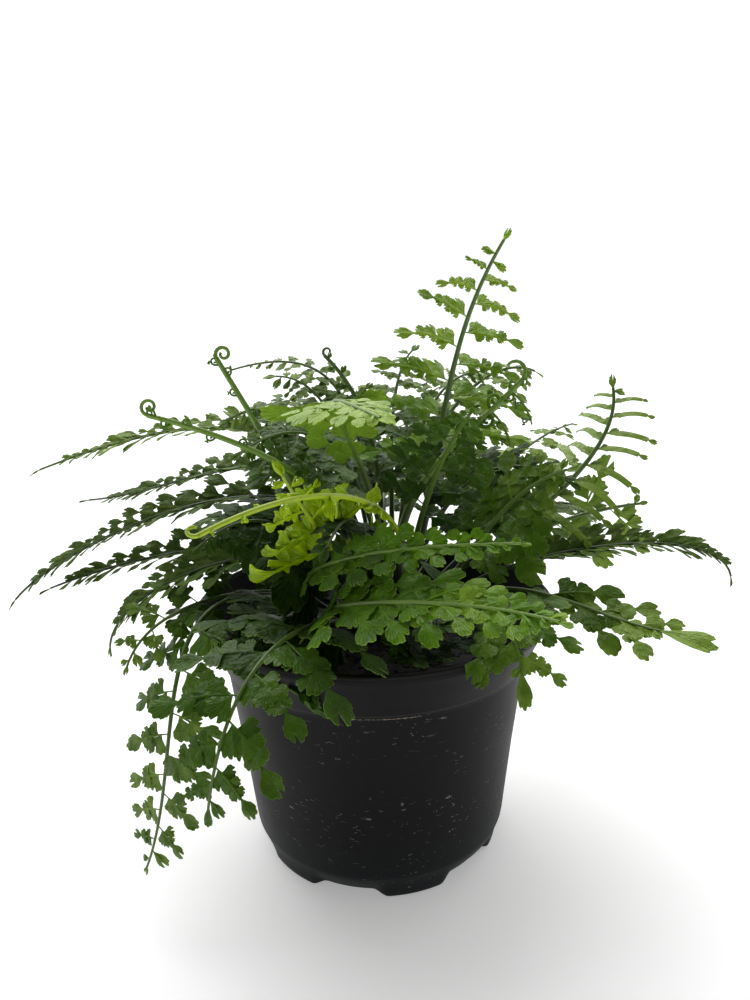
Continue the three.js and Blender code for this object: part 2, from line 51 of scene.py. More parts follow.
MM = 0.001
pot_low, pot_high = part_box("pot")
soil_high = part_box("soil")[1]
crown_low, crown_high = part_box("crown")
RIM_Z = pot_high.z / MM
RIM_R = (pot_high.x - pot_low.x) / 2 / MM
CROWN_X = (crown_low.x + crown_high.x) / 2 / MM
CROWN_R = (crown_high.x - crown_low.x) / 2 / MM
CROWN_TOP = crown_high.z / MM
CROWN_RISE = 13.0  # half the height of the ball the crown is the top of
SOIL_TOP = soil_high.z / MM
LIP_Z = RIM_Z - 3.6  # where the collar turns out into the lip
SHOULDER_Z = LIP_Z - 16.5  # where the wall steps out into the collar
UP = np.array([0.0, 0.0, 1.0])
X_WAY = np.array([1.0, 0.0, 0.0])


def unit(v):
    return v / max(np.linalg.norm(v), 1e-9)


def new_object(name, data):
    ob = bpy.data.objects.new(name, data)
    bpy.context.scene.collection.objects.link(ob)
    return ob


# ---------------------------------------------------------------- a mesh under construction
class Piece:
    """Collects the sheets and tubes of one piece: vertices, faces, maps and values."""

    def __init__(self):
        self.verts, self.faces, self.mats = [], [], []
        self.fan, self.cells, self.tone, self.under, self.age = [], [], [], [], []
        self.count = 0
        self.sheets = 0

    def add(self, verts, quads, fan, cell, material, tone, under, age):
        verts = np.asarray(verts, float).reshape(-1, 3)
        n = len(verts)
        self.verts.append(verts)
        self.faces.append(quads + self.count)
        self.fan.append(fan)
        self.cells.append((self.sheets, cell))
        self.mats.append(np.full(len(quads), material))
        self.tone.append(np.broadcast_to(tone, n))
        self.under.append(np.broadcast_to(under, n))
        self.age.append(np.broadcast_to(age, n))
        self.count += n
        self.sheets += 1

    def build(self, name, materials):
        """The object, with its blade and bake maps, and tone, underside and age at each vertex."""
        verts = np.concatenate(self.verts) * MM
        faces = np.concatenate(self.faces)
        mesh = bpy.data.meshes.new(name)
        mesh.vertices.add(len(verts))
        mesh.vertices.foreach_set("co", verts.astype(np.float32).ravel())
        mesh.loops.add(faces.size)
        mesh.loops.foreach_set("vertex_index", faces.astype(np.int32).ravel())
        mesh.polygons.add(len(faces))
        mesh.polygons.foreach_set("loop_start", np.arange(0, faces.size, 4, dtype=np.int32))
        mesh.polygons.foreach_set("material_index", np.concatenate(self.mats).astype(np.int32))
        for material in materials:
            mesh.materials.append(material)
        mesh.update(calc_edges=True)
        fan = mesh.uv_layers.new(name="blade")
        fan.data.foreach_set("uv", np.concatenate(self.fan)[faces.ravel()].astype(np.float32).ravel())
        side = math.ceil(math.sqrt(self.sheets))
        atlas = []
        for index, cell in self.cells:
            corner = np.array([index % side, index // side], float)
            atlas.append((corner + 0.04 + 0.92 * cell) / side)
        bake = mesh.uv_layers.new(name="OFBake")
        bake.data.foreach_set("uv", np.concatenate(atlas).astype(np.float32).ravel())
        for key, values in (("tone", self.tone), ("under", self.under), ("age", self.age)):
            layer = mesh.attributes.new(key, "FLOAT", "POINT")
            layer.data.foreach_set("value", np.concatenate(values).astype(np.float32))
        mesh.validate()
        mesh.shade_smooth()
        mesh.set_sharp_from_angle(angle=math.radians(52))
        return new_object(name, mesh)


def sheet_pattern(na, nr):
    """The faces of a thin sheet with a top, an underside and an edge, and where they go in the bake."""
    def at(a, b):
        return a * nr + b

    under = na * nr
    quads, cell = [], []
    for a in range(na - 1):
        for b in range(nr - 1):
            u0, u1 = a / (na - 1), (a + 1) / (na - 1)
            v0, v1 = 0.47 * b / (nr - 1), 0.47 * (b + 1) / (nr - 1)
            quads.append([at(a, b), at(a, b + 1), at(a + 1, b + 1), at(a + 1, b)])
            cell += [[u0, v0], [u0, v1], [u1, v1], [u1, v0]]
            quads.append([under + k for k in (at(a, b), at(a + 1, b), at(a + 1, b + 1), at(a, b + 1))])
            cell += [[u0, v0 + 0.53], [u1, v0 + 0.53], [u1, v1 + 0.53], [u0, v1 + 0.53]]
    loop = [at(0, b) for b in range(nr)] + [at(a, nr - 1) for a in range(1, na)]
    loop += [at(na - 1, b) for b in range(nr - 2, -1, -1)] + [at(a, 0) for a in range(na - 2, 0, -1)]
    for k, first in enumerate(loop):
        second = loop[(k + 1) % len(loop)]
        u0, u1 = k / len(loop), (k + 1) / len(loop)
        quads.append([second, first, under + first, under + second])
        cell += [[u1, 0.485], [u0, 0.485], [u0, 0.515], [u1, 0.515]]
    return np.array(quads), np.array(cell)


# a sheet's grid: NA points across (T from one side to the other) by NR out from its base (S)
NA, NR = 16, 4
SHEET_QUADS, SHEET_CELL = sheet_pattern(NA, NR)
T = np.linspace(-1, 1, NA)[:, None]
S = np.array([0.07, 0.4, 0.75, 1.0])[None, :]
TOOTH = np.array([(1.0, 0.12, 0.0)[k % 3] for k in range(NA)])[:, None]
SHEET_FAN = np.stack(np.broadcast_arrays((T + 1) / 2, S), -1).reshape(-1, 2)
STRIP_FAN = np.stack([np.full((NA, NR), 0.5), np.full((NA, NR), 0.3)], -1).reshape(-1, 2)

# the outside of the pot's wall as heights and radii, and the room that leaves keep from it
WALL_Z = [0.0, 10.0, RIM_Z - 21, RIM_Z - 19.5, RIM_Z - 4, RIM_Z - 3, RIM_Z]
WALL_R = [49.0, 51.5, 59.7, 61.2, 68.7, RIM_R, RIM_R]
ROOM = 0.8
WALL_BAND = 7.0  # leaf this deep inside the wall or less is moved out of it
MIDDLE_R = 45.0  # nearer the axis than this, only the soil is in the way


def keep_clear(points):
    """Leaf that would pass through the pot or the soil lies over the lip or against the wall instead."""
    x, y, z = points[..., 0], points[..., 1], points[..., 2]
    r = np.maximum(np.hypot(x, y), 1e-6)
    wall = np.interp(z, WALL_Z, WALL_R) + ROOM
    low = (z < RIM_Z + ROOM) & (r < wall) & ((r > wall - WALL_BAND) | ((z < SOIL_TOP) & (r > MIDDLE_R)))
    over = low & (RIM_Z + ROOM - z < wall - r + 2.5)
    beside = low & ~over
    scale = np.where(beside, wall / r, 1.0)
    z = np.where(over, RIM_Z + ROOM, z)
    z = np.where((r <= MIDDLE_R) & (z < SOIL_TOP + 0.5), SOIL_TOP + 0.5, z)
    return np.stack([x * scale, y * scale, z], -1)


def add_sheet(piece, grid, fan, thick, tone, age):
    """A grid of points as a thin closed sheet."""
    grid = keep_clear(grid)
    along = np.gradient(grid, axis=1)
    across = np.gradient(grid, axis=0)
    normal = np.cross(along, across)
    normal /= np.maximum(np.linalg.norm(normal, axis=2, keepdims=True), 1e-9)
    lower = grid - normal * thick
    verts = np.concatenate([grid.reshape(-1, 3), lower.reshape(-1, 3)])
    under = np.repeat([0.0, 1.0], NA * NR)
    piece.add(verts, SHEET_QUADS, np.concatenate([fan, fan]), SHEET_CELL, 0, tone, under, age)


def add_lobe(piece, base, way, normal, length, half, style, tone, age, pointed=0.0):
    """One fan-shaped lobe with a toothed outer edge. way is where it points and normal its upper side."""
    lat = np.cross(normal, way)
    reach = 1 - style["round"] * np.abs(T) ** 2.8 - pointed * np.abs(T) ** 1.1
    depth = style["teeth"] * rng.uniform(0.7, 1.3, (NA, 1))
    if style["cut"] > 0 and rng.random() < 0.75:
        notch = int(rng.choice([6, 9]))
        depth[notch] += style["cut"] * rng.uniform(0.6, 1.2)
    edge = length * reach * (1 - TOOTH * depth)
    r = edge * S
    phi = T * half * (0.6 + 0.4 * S)
    x, y = r * np.cos(phi), r * np.sin(phi)
    bend = style["curl"] * rng.uniform(0.5, 1.5) + 1e-3
    swing = bend * x / length
    ripple = style["wave"] * length * np.sin(T * 4.2 + rng.uniform(0, 6.3)) * S**2
    ripple = ripple - style["cup"] * y**2 / length
    gx = length * np.sin(swing) / bend + ripple * np.sin(swing)
    gz = -length * (1 - np.cos(swing)) / bend + ripple * np.cos(swing)
    grid = base + gx[..., None] * way + y[..., None] * lat + gz[..., None] * normal
    add_sheet(piece, grid, SHEET_FAN, style["thick"], tone, age)


def add_midrib(piece, line, sides, normals, widths, thick, tone, age):
    """The narrow wing of blade along a leaflet's own stalk."""
    t = np.linspace(0, len(line) - 1, NA)
    low = np.clip(t.astype(int), 0, len(line) - 2)
    share = (t - low)[:, None]
    centre, side, normal, width = (
        rows[low] * (1 - share) + rows[low + 1] * share for rows in (line, sides, normals, widths[:, None]))
    place = np.array([-1.0, -0.35, 0.35, 1.0])
    rise = np.array([0.0, 0.12, 0.12, 0.0])
    grid = centre[:, None, :] - (width * place)[..., None] * side[:, None, :]
    grid = grid + rise[None, :, None] * normal[:, None, :]
    add_sheet(piece, grid, STRIP_FAN, thick, tone, age)


TUBE_SIDES = 8


def tube_pattern(rings, sides):
    """The faces of a tube of eight sides with closed ends, and where they go in the bake."""
    quads, cell = [], []
    for i in range(rings - 1):
        for j in range(sides):
            k = (j + 1) % sides
            u0, u1 = i / (rings - 1), (i + 1) / (rings - 1)
            v0, v1 = 0.9 * j / sides, 0.9 * (j + 1) / sides
            quads.append([i * sides + j, i * sides + k, (i + 1) * sides + k, (i + 1) * sides + j])
            cell += [[u0, v0], [u0, v1], [u1, v1], [u1, v0]]
    last = (rings - 1) * sides
    for a, b, c, d in ((0, 1, 2, 3), (0, 3, 4, 7), (4, 5, 6, 7)):
        quads.append([d, c, b, a])
        quads.append([last + a, last + b, last + c, last + d])
        cell += [[0, 0.93], [0.1, 0.93], [0.1, 0.98], [0, 0.98]]
        cell += [[0.2, 0.93], [0.3, 0.93], [0.3, 0.98], [0.2, 0.98]]
    return np.array(quads), np.array(cell)


def add_tube(piece, line, radii, material, tone, age0, age1):
    """A round stalk along a line of points."""
    line = np.asarray(line, float)
    n = len(line)
    tangent = np.gradient(line, axis=0)
    tangent /= np.maximum(np.linalg.norm(tangent, axis=1, keepdims=True), 1e-9)
    side = unit(np.cross(tangent[0], UP if abs(tangent[0][2]) < 0.9 else X_WAY))
    rings = []
    for i in range(n):
        side = unit(side - tangent[i] * side.dot(tangent[i]))
        other = np.cross(tangent[i], side)
        turn = np.arange(TUBE_SIDES) / TUBE_SIDES * 2 * math.pi
        ring = np.cos(turn)[:, None] * side + np.sin(turn)[:, None] * other
        rings.append(line[i] + radii[i] * ring)
    quads, cell = tube_pattern(n, TUBE_SIDES)
    age = np.repeat(np.linspace(age0, age1, n), TUBE_SIDES)
    round_share = np.tile(np.arange(TUBE_SIDES) / TUBE_SIDES, n)
    fan = np.stack([round_share, np.repeat(np.linspace(0, 1, n), TUBE_SIDES)], -1)
    piece.add(np.concatenate(rings), quads, fan, cell, material, tone, 0.0, age)


# ---------------------------------------------------------------- one leaflet of a frond
# upper, lower: how many lobes on the two sides; reach: a lobe's length as a share of the leaflet's;
# first: how much bigger the lobe next to the stem is; spread: half the angle of a lobe; angle: how far a
# lobe turns out from the stalk; wing: the blade's width along the stalk; stalk: its bare share; end: the
# last lobe's length; tail: the length of a small leaflet's one lobe; droop, curl, wave and cup bend the
# blade, and cut is its deep notch
STYLE = dict(thick=0.22, curl=0.25, wave=0.04, tail=1.05)
STYLES = {
    "slim": STYLE | dict(upper=4, lower=3, reach=0.27, first=1.3, spread=38, angle=50, wing=0.028,
        stalk=0.07, end=0.34, droop=0.7, round=0.28, teeth=0.09, cut=0.22, cup=0.15),
    "blade": STYLE | dict(upper=3, lower=3, reach=0.34, first=1.2, spread=44, angle=50, wing=0.014,
        stalk=0.06, end=0.4, droop=0.5, round=0.3, teeth=0.08, cut=0.18, cup=0.12),
    "narrow": STYLE | dict(upper=6, lower=5, reach=0.13, first=1.7, spread=40, angle=36, wing=0.07,
        stalk=0.04, end=0.2, droop=0.8, round=0.25, teeth=0.08, cut=0.1, curl=0.3, wave=0.05, cup=0.15),
    "edge": STYLE | dict(upper=1, lower=1, reach=0.55, first=1.1, spread=30, angle=28, wing=0.05,
        stalk=0.08, end=0.62, droop=0.25, round=0.32, teeth=0.07, cut=0.16, cup=0.1, tail=1.85),
    "fan": STYLE | dict(upper=2, lower=2, reach=0.44, first=1.1, spread=42, angle=58, wing=0.012,
        stalk=0.24, end=0.52, droop=0.35, round=0.28, teeth=0.08, cut=0.26, curl=0.3, cup=0.15),
    "broad": STYLE | dict(upper=2, lower=2, reach=0.5, first=1.15, spread=48, angle=58, wing=0.02,
        stalk=0.16, end=0.6, droop=0.45, round=0.3, teeth=0.06, cut=0.16, curl=0.35, wave=0.05, cup=0.1,
        thick=0.24),
    "ribbon": STYLE | dict(upper=2, lower=2, reach=0.44, first=1.1, spread=50, angle=44, wing=0.012,
        stalk=0.04, end=0.52, droop=0.3, round=0.34, teeth=0.055, cut=0.1, curl=0.3, wave=0.05, cup=0.1),
    "young": STYLE | dict(upper=3, lower=3, reach=0.42, first=1.1, spread=42, angle=55, wing=0.03,
        stalk=0.1, end=0.4, droop=0.9, round=0.3, teeth=0.05, cut=0.35, curl=1.2, wave=0.16, cup=0.4,
        thick=0.38),
}


STALK_STEPS = 10
SMALL_LEAFLET = 7.5  # a shorter leaflet is a single lobe


def add_leaflet(piece, root, out, up, forward, length, style, lift, sweep, droop, level, tone, age):
    """A leaflet: a drooping stalk with lobes along both sides and one at its end."""
    s = STYLES[style]
    pitch = math.radians(lift + rng.uniform(-6, 6))
    yaw = math.radians(sweep + rng.uniform(-5, 5))
    way = unit(math.cos(yaw) * (math.cos(pitch) * out + math.sin(pitch) * up) + math.sin(yaw) * forward)
    steps = STALK_STEPS
    droop = (s["droop"] if droop is None else droop) * rng.uniform(0.6, 1.3)
    line, ways = [root], [way]
    for i in range(1, steps):
        q = i / (steps - 1)
        bent = unit(way - UP * droop * q**1.4 + forward * 0.12 * q)
        line.append(line[-1] + bent * length / (steps - 1) * (1 - s["end"] * 0.55))
        ways.append(bent)
    line, ways = np.array(line), np.array(ways)
    span = unit(forward - way * way.dot(forward))
    sides = np.array([unit(span - w * w.dot(span)) for w in ways])
    normals = np.array([unit(np.cross(w, side)) for w, side in zip(ways, sides)])
    if normals[0].dot(up) < 0:
        normals = -normals
    for i, w in enumerate(ways):
        turn = 1 if np.cross(normals[i], w).dot(sides[i]) > 0 else -1
        tilted = normals[i] * (1 - level) + UP * level
        normals[i] = unit(tilted - w * w.dot(tilted))
        sides[i] = turn * np.cross(normals[i], w)
    q = np.linspace(0, 1, steps)
    widths = s["wing"] * length * np.clip((q - s["stalk"]) * 4, 0, 1) * (1 - 0.3 * q) + 0.24
    add_midrib(piece, line, sides * np.sign(normals[0].dot(np.cross(ways[0], sides[0]))), normals, widths,
               s["thick"] * 1.5, tone, age)

    def place(share):
        k = min(steps - 2, int(share * (steps - 1)))
        f = share * (steps - 1) - k
        return line[k] * (1 - f) + line[k + 1] * f, ways[k], sides[k], normals[k]

    small = length < SMALL_LEAFLET
    for count, face in ((0 if small else s["upper"], 1), (0 if small else s["lower"], -1)):
        for i in range(count):
            start = s["stalk"] + (0.0 if face > 0 else 0.13)
            share = start + (0.93 - start) * (i + 0.15) / count
            base, w, side, n = place(min(0.97, share))
            angle = s["angle"] if face > 0 else s["angle"] - 6
            angle = math.radians(angle - 24 * share + rng.uniform(-7, 7))
            lobe_way = unit(math.cos(angle) * w + math.sin(angle) * side * face)
            lobe_way = unit(lobe_way + n * rng.uniform(-0.12, 0.12))
            normal = unit(n - lobe_way * lobe_way.dot(n))
            size = s["reach"] * length * (1.12 - 0.42 * share) * rng.uniform(0.88, 1.1)
            size *= 0.86 if face < 0 else (s["first"] if i == 0 else 1.0)
            half = math.radians(s["spread"] * rng.uniform(0.9, 1.1))
            add_lobe(piece, base - lobe_way * 0.2 + n * 0.05 * (i % 2), lobe_way, normal, size, half, s,
                     tone + rng.uniform(-0.1, 0.1), age)
    base, w, side, n = place(0.985)
    end = dict(s, cut=s["cut"] * 1.3)
    if small:
        base, size = line[0] + ways[2] * 0.3, length * s["tail"]
    else:
        base, size = base - w * 0.4, s["end"] * length * 1.15
    add_lobe(piece, base, w, unit(n - w * w.dot(n)), size, math.radians(s["spread"] * 0.8), end, tone, age,
             pointed=0.2)


def coil_points(tip, tangent, side, turns, gap, steps=16):
    """A flat spiral rolling inwards from the stem's tip."""
    outer = gap * 0.5 + gap * turns
    centre = tip + side * outer
    points = []
    for i in range(int(steps * turns) + 1):
        angle = i / steps * 2 * math.pi
        radius = outer - gap * i / steps
        points.append(centre - side * radius * math.cos(angle) + tangent * radius * math.sin(angle))
    return np.array(points)


def add_bud(piece, root, way, side, size, tone, age):
    """A leaflet still rolled up: a short stalk ending in a tight coil, with a curl of blade round it."""
    stalk = [root + way * size * k / 3 for k in range(4)]
    curl = coil_points(stalk[-1], way, side, 1.1, size * 0.42, 10)
    line = np.concatenate([np.array(stalk[:-1]), curl])
    radii = np.linspace(size * 0.2, size * 0.15, len(line))
    add_tube(piece, line, radii, 0, tone, age, age)
    normal = unit(np.cross(way, side))
    style = dict(STYLES["young"], teeth=0.05, cut=0.25)
    for k in range(3):
        base = curl[2 + 3 * k]
        out = unit(base - curl.mean(axis=0) + 1e-3 * way)
        add_lobe(piece, base, out, normal * (1 if k % 2 else -1), size * 0.75, 0.7, style, tone, age)


def add_spray(piece, root, way, side, length, tone, age):
    """A short hanging side stalk with rolled buds along it."""
    line, heading = [root], way
    for k in range(9):
        heading = unit(heading - UP * 0.16)
        line.append(line[-1] + heading * length / 9)
    add_tube(piece, line, np.linspace(0.55, 0.32, 10), 1, tone, age, 1.0)
    for k in (4, 6, 8):
        out = unit(side * (1 if k % 4 else -1) + heading * 0.5)
        add_bud(piece, line[k], out, unit(np.cross(out, way) + 1e-3 * UP), 1.7, tone, age)


# ---------------------------------------------------------------- the fronds
# seat: the stem's foot, as a share of the crown's radius and a direction; pts: its other three steering
# points, in millimetres from the pot's axis and from its rim; slot: the colours of the leaves, and of the
# stem unless stem says another; bare: the share of the stem without leaflets; leaf: the longest leaflet;
# n: how many; face: where their upper sides look; lift, sweep, droop: how a leaflet rises, leans forward
# and hangs; look: its style; shade: how pale it is, partly painted light and shade, higher on the lit
# fronds at the right and lower on those in the shaded middle and low down; level: how level its blade
# lies; taper, last, tip, point: how the leaflets end; stop: the share of the stem that is drawn; thick:
# the stem's, against STEM_D; coil, gap, turn: the rolled tip's turns, their spacing and side; spray: the
# length of hanging side stalks
PLAIN = dict(
    slot="green", lift=0, sweep=20, level=0.0, droop=None, taper=0.7, last=0.975, stop=1.0, thick=1.0,
    coil=None, gap=1.7, turn=1, spray=None, tip=None, point=0.38, cut=0.3, stem=None)
LONG = PLAIN | dict(
    slot="dark", bare=0.35, leaf=20, face=(0, -0.4, 1), lift=30, sweep=58, look="edge", shade=0.58,
    taper=0.75, last=0.93, tip=6.0, point=0.16)
ROLLED = PLAIN | dict(
    slot="light", face=(0, -1, 0.2), lift=30, sweep=30, look="bud", shade=-0.15, coil=1.2)
BLADE = PLAIN | dict(
    bare=0.4, leaf=34, n=18, face=(0, -0.5, 0.9), look="blade", shade=0.3, level=0.6)
FAN = PLAIN | dict(
    look="fan", shade=0.2)
BROAD = PLAIN | dict(
    slot="dark", bare=0.35, face=(0, -0.6, 0.8), look="broad", level=0.5)
RIBBON = PLAIN | dict(
    slot="light", leaf=24, n=20, sweep=58, look="ribbon", droop=0.3)
BACK = PLAIN | dict(
    bare=0.33, leaf=30, n=18, sweep=25, look="blade", shade=0.35, taper=0.5)
FRONDS = {
    "tall": PLAIN | dict(seat=(0.4, 35), pts=[(30, 15, 40), (25, 20, 95), (54, 6, 139)], slot="light",
        stem="green", bare=0.36, leaf=36, n=16, face=(0.2, -1, 0.2), lift=8, sweep=15, look="slim",
        shade=0.4, level=0.5, droop=0.55, taper=0.5, last=0.96, tip=6.0, stop=0.96, thick=1.5),
    "hook": ROLLED | dict(seat=(0.4, -20), pts=[(0, 5, 40), (35, 0, 60), (57, -2, 84)], bare=0.6, leaf=14,
        n=7, face=(-0.4, -1, 0.4), lift=0, sweep=40, shade=-0.05, thick=1.7, coil=0.55, gap=5.0, turn=-1,
        spray=15.0),
    "right_tall": PLAIN | dict(seat=(0.67, 12), pts=[(35, 10, 10), (100, 5, 45), (97, 18, 78)], bare=0.45,
        leaf=27, n=19, face=(-0.5, -0.6, 0.6), lift=-5, sweep=26, look="narrow", shade=0.65, level=0.45,
        droop=0.85, taper=0.3, last=0.985, tip=7.0, thick=1.5),
    "right_mid": FAN | dict(seat=(0.67, 38), pts=[(45, 20, 10), (85, 25, 30), (127, 24, 29)], bare=0.42,
        leaf=27, n=6, face=(0, -1, 0.15), sweep=35, shade=0.65, droop=0.25, taper=0.1, tip=5.0, stop=0.88,
        thick=1.5),
    "right_low": LONG | dict(seat=(0.89, 0), pts=[(40, 5, 14), (128, -15, 36), (134, -16, 10)], bare=0.3,
        n=28, face=(0, -0.35, 1), lift=34, shade=0.7, taper=0.8),
    "right_lower": PLAIN | dict(seat=(0.89, -25), pts=[(50, -10, 20), (75, -25, 0), (95, -50, 4)],
        bare=0.45, leaf=25, n=7, face=(0.1, -0.6, 0.8), lift=12, sweep=56, look="ribbon", shade=0.42,
        taper=0.35, tip=21.0, point=0.36, cut=0.06),
    "front_big": RIBBON | dict(seat=(0.89, -126), pts=[(-45, -55, 20), (20, -75, 30), (46, -110, 34)],
        bare=0.25, face=(0.1, -0.6, 0.8), lift=12, shade=0.1, taper=0.5),
    "front_mid": RIBBON | dict(seat=(0.89, -160), pts=[(-50, -25, 20), (-5, -60, 40), (42, -80, 45)],
        bare=0.33, leaf=19, face=(0, -0.7, 0.7), lift=25, shade=0.05, taper=0.6),
    "hang_left": FAN | dict(seat=(0.89, 183), pts=[(-90, -22, 38), (-60, -60, -25), (-81, -60, -75)],
        bare=0.4, leaf=22, n=15, face=(-0.5, -0.9, 0.2), sweep=12, droop=0.2, taper=0.35),
    "hang_front": BLADE | dict(seat=(0.89, -112), pts=[(-15, -35, 8), (-40, -85, 30), (-49, -94, -28)],
        bare=0.28, leaf=33, n=12, face=(-0.3, -0.8, 0.6), lift=5, shade=-0.05, level=0.0, taper=0.35),
    "left_rim": FAN | dict(seat=(0.89, 165), pts=[(-30, 2, 8), (-80, -25, 16), (-88, -38, -10)], bare=0.35,
        leaf=20, n=11, face=(0, -0.7, 0.7), lift=5, sweep=25, taper=0.4),
    "left_a": LONG | dict(seat=(0.67, 172), pts=[(-15, 2, 35), (-95, -20, 20), (-100, -20, -10)], n=24,
        face=(-0.3, -0.5, 0.9), lift=26, sweep=56, last=0.9, point=0.38),
    "left_b": LONG | dict(seat=(0.89, 150), pts=[(-30, 10, 30), (-90, 5, 20), (-124, -10, 10)], leaf=21,
        n=22),
    "left_c": LONG | dict(seat=(0.67, 152), pts=[(0, 12, 75), (-120, 5, 28), (-139, -8, 5)], leaf=21, n=30,
        face=(-0.3, -0.4, 1)),
    "left_d": LONG | dict(seat=(0.67, 128), pts=[(-20, 35, 80), (-75, 40, 35), (-124, 38, 33)], bare=0.4,
        n=28, face=(0, -0.3, 1)),
    "left_e": LONG | dict(seat=(0.4, 190), pts=[(-5, 20, 85), (-80, 30, 70), (-132, 12, 52)], slot="green",
        bare=0.38, leaf=18, n=30, face=(0, -0.35, 1)),
    "crozier_left": ROLLED | dict(seat=(0.4, 225), pts=[(-2, -16, 45), (-32, -27, 65), (-74, -32, 78)],
        bare=0.5, leaf=4.2, n=7, thick=1.35),
    "crozier_up": ROLLED | dict(seat=(0.67, 205), pts=[(-15, -15, 25), (-35, -10, 60), (-54, -10, 95)],
        bare=0.55, leaf=4.0, n=6, thick=1.5),
    "crozier_bright": PLAIN | dict(seat=(0.89, -80), pts=[(20, -30, 40), (0, -85, 75), (-40, -115, 60)],
        slot="young", bare=0.5, leaf=10, n=10, face=(0, -0.6, 0.8), lift=20, sweep=30, look="young",
        shade=0.0, droop=0.6, coil=0.7),
    "bright": PLAIN | dict(seat=(0.67, 235), pts=[(-6, -22, 20), (-15, -50, 35), (-27, -56, 61)],
        slot="young", bare=0.5, leaf=27, n=10, face=(0, -1, 0.3), look="young", shade=0.1, droop=0.4,
        tip=7.0, thick=1.2),
    "top_left": FAN | dict(seat=(0.4, 150), pts=[(0, 35, 70), (-10, 60, 100), (-62, 60, 86)], bare=0.5,
        leaf=13, n=19, face=(0, -0.4, 1), lift=10, sweep=35, shade=0.35, level=0.2, taper=0.5, last=0.94),
    "top_crozier": FAN | dict(seat=(0.4, 115), pts=[(5, 25, 35), (5, 30, 70), (-18, 30, 93)], bare=0.45,
        leaf=16, n=9, face=(0, -1, 0.3), lift=10, sweep=30, shade=0.25, level=0.4, thick=1.2, coil=0.7),
    "near_high": RIBBON | dict(seat=(0.4, -90), pts=[(5, -20, 70), (-30, -20, 90), (3, -98, 84)], bare=0.42,
        leaf=26, n=15, face=(0, -0.3, 1), sweep=52, shade=0.45, level=0.1, taper=0.45),
    "back_right": PLAIN | dict(seat=(0.67, 58), pts=[(35, 30, 20), (65, 65, 50), (99, 85, 54)], bare=0.4,
        leaf=25, n=14, face=(-0.3, -0.5, 0.8), look="broad", shade=0.62, level=0.4, taper=0.5),
    "top_mid": BLADE | dict(seat=(0.67, 85), pts=[(10, 35, 30), (5, 50, 80), (20, 70, 92)], bare=0.38,
        leaf=36, face=(0, -0.8, 0.6), thick=1.2),
    "top_right": PLAIN | dict(seat=(0.4, 80), pts=[(10, 30, 45), (45, 50, 95), (75, 62, 82)], bare=0.4,
        leaf=33, n=18, face=(0, -0.4, 1), look="slim", shade=0.5, level=0.5, taper=0.5, thick=1.3),
    "mid_left": BLADE | dict(seat=(0.67, 192), pts=[(-5, 0, 30), (-22, 14, 90), (-57, 18, 69)], leaf=35,
        n=19, thick=1.4),
    "mid_front": FAN | dict(seat=(0.67, -62), pts=[(14, -20, 38), (25, -35, 65), (29, -70, 81)], bare=0.42,
        leaf=18, n=14, face=(0, -1, 0.3), shade=-0.12, level=0.5, taper=0.5, thick=1.2),
    "mid_right": BROAD | dict(seat=(0.67, -30), pts=[(35, -10, 10), (45, -15, 45), (65, -38, 57)],
        slot="green", bare=0.4, leaf=25, n=14, face=(0, -0.7, 0.7), shade=0.28, thick=1.2),
    "low_left": BROAD | dict(seat=(0.89, -142), pts=[(-18, -30, 0), (-28, -42, 10), (-48, -54, 0)],
        bare=0.3, leaf=31, n=12, shade=0.05, level=0.3),
    "rim_right": BLADE | dict(seat=(0.89, -50), pts=[(25, -25, 15), (45, -50, 22), (46, -66, -2)],
        bare=0.55, leaf=25, n=7, face=(0.2, -0.9, 0.4), sweep=30, level=0.0, droop=0.3, taper=0.25,
        tip=13.0),
    "rim_front": BROAD | dict(seat=(0.89, -95), pts=[(16, -28, -2), (24, -46, -2), (6, -58, 0)], bare=0.5,
        leaf=19, n=9, lift=30, sweep=30, shade=-0.1, droop=0.1, taper=0.5),
    "fill_front": BROAD | dict(seat=(0.67, -104), pts=[(0, -20, 32), (-6, -34, 52), (-14, -64, 40)],
        leaf=33, n=15, shade=-0.1, taper=1.1),
    "fill_left": BROAD | dict(seat=(0.89, 209), pts=[(-18, -15, 28), (-36, -24, 50), (-58, -34, 34)],
        bare=0.33, leaf=33, n=16, face=(0, -0.5, 0.9), shade=-0.1),
    "fill_right": BLADE | dict(seat=(0.4, 8), pts=[(26, 8, 44), (48, 6, 60), (74, -8, 46)], slot="dark",
        bare=0.35, leaf=30, n=16, face=(0, -0.6, 0.8), shade=0.0, level=0.5),
    "fill_mid": BLADE | dict(seat=(0.15, 185), pts=[(0, -2, 60), (-20, -8, 78), (-44, -24, 64)], bare=0.42,
        leaf=32, shade=0.1),
    "fill_back": PLAIN | dict(seat=(0.15, 50), pts=[(12, 10, 50), (22, 26, 86), (48, 40, 84)], bare=0.42,
        leaf=32, n=17, face=(0, -0.6, 0.8), look="slim", shade=0.2, level=0.55),
    "fill_top": BLADE | dict(seat=(0.67, 108), pts=[(-6, 28, 45), (-14, 40, 84), (-40, 44, 84)], bare=0.38),
    "fill_low_front": BROAD | dict(seat=(0.89, -65), pts=[(18, -26, 4), (22, -44, 10), (16, -62, 8)],
        slot="green", bare=0.4, leaf=21, n=9, lift=20, shade=-0.05, droop=0.15),
    "back_a": BACK | dict(seat=(0.89, 45), pts=[(40, 30, 10), (75, 50, 35), (105, 62, 15)], slot="dark",
        face=(0.3, 0.2, 1)),
    "back_b": BACK | dict(seat=(0.89, 75), pts=[(25, 35, 45), (45, 80, 60), (65, 115, 25)],
        face=(0.1, 0.3, 1)),
    "back_c": BACK | dict(seat=(0.89, 95), pts=[(5, 35, 35), (5, 85, 50), (10, 125, 5)], face=(0, 0.3, 1),
        shade=0.1),
    "back_d": BACK | dict(seat=(0.89, 115), pts=[(-15, 35, 45), (-40, 80, 60), (-55, 112, 20)],
        face=(-0.1, 0.3, 1), shade=0.0),
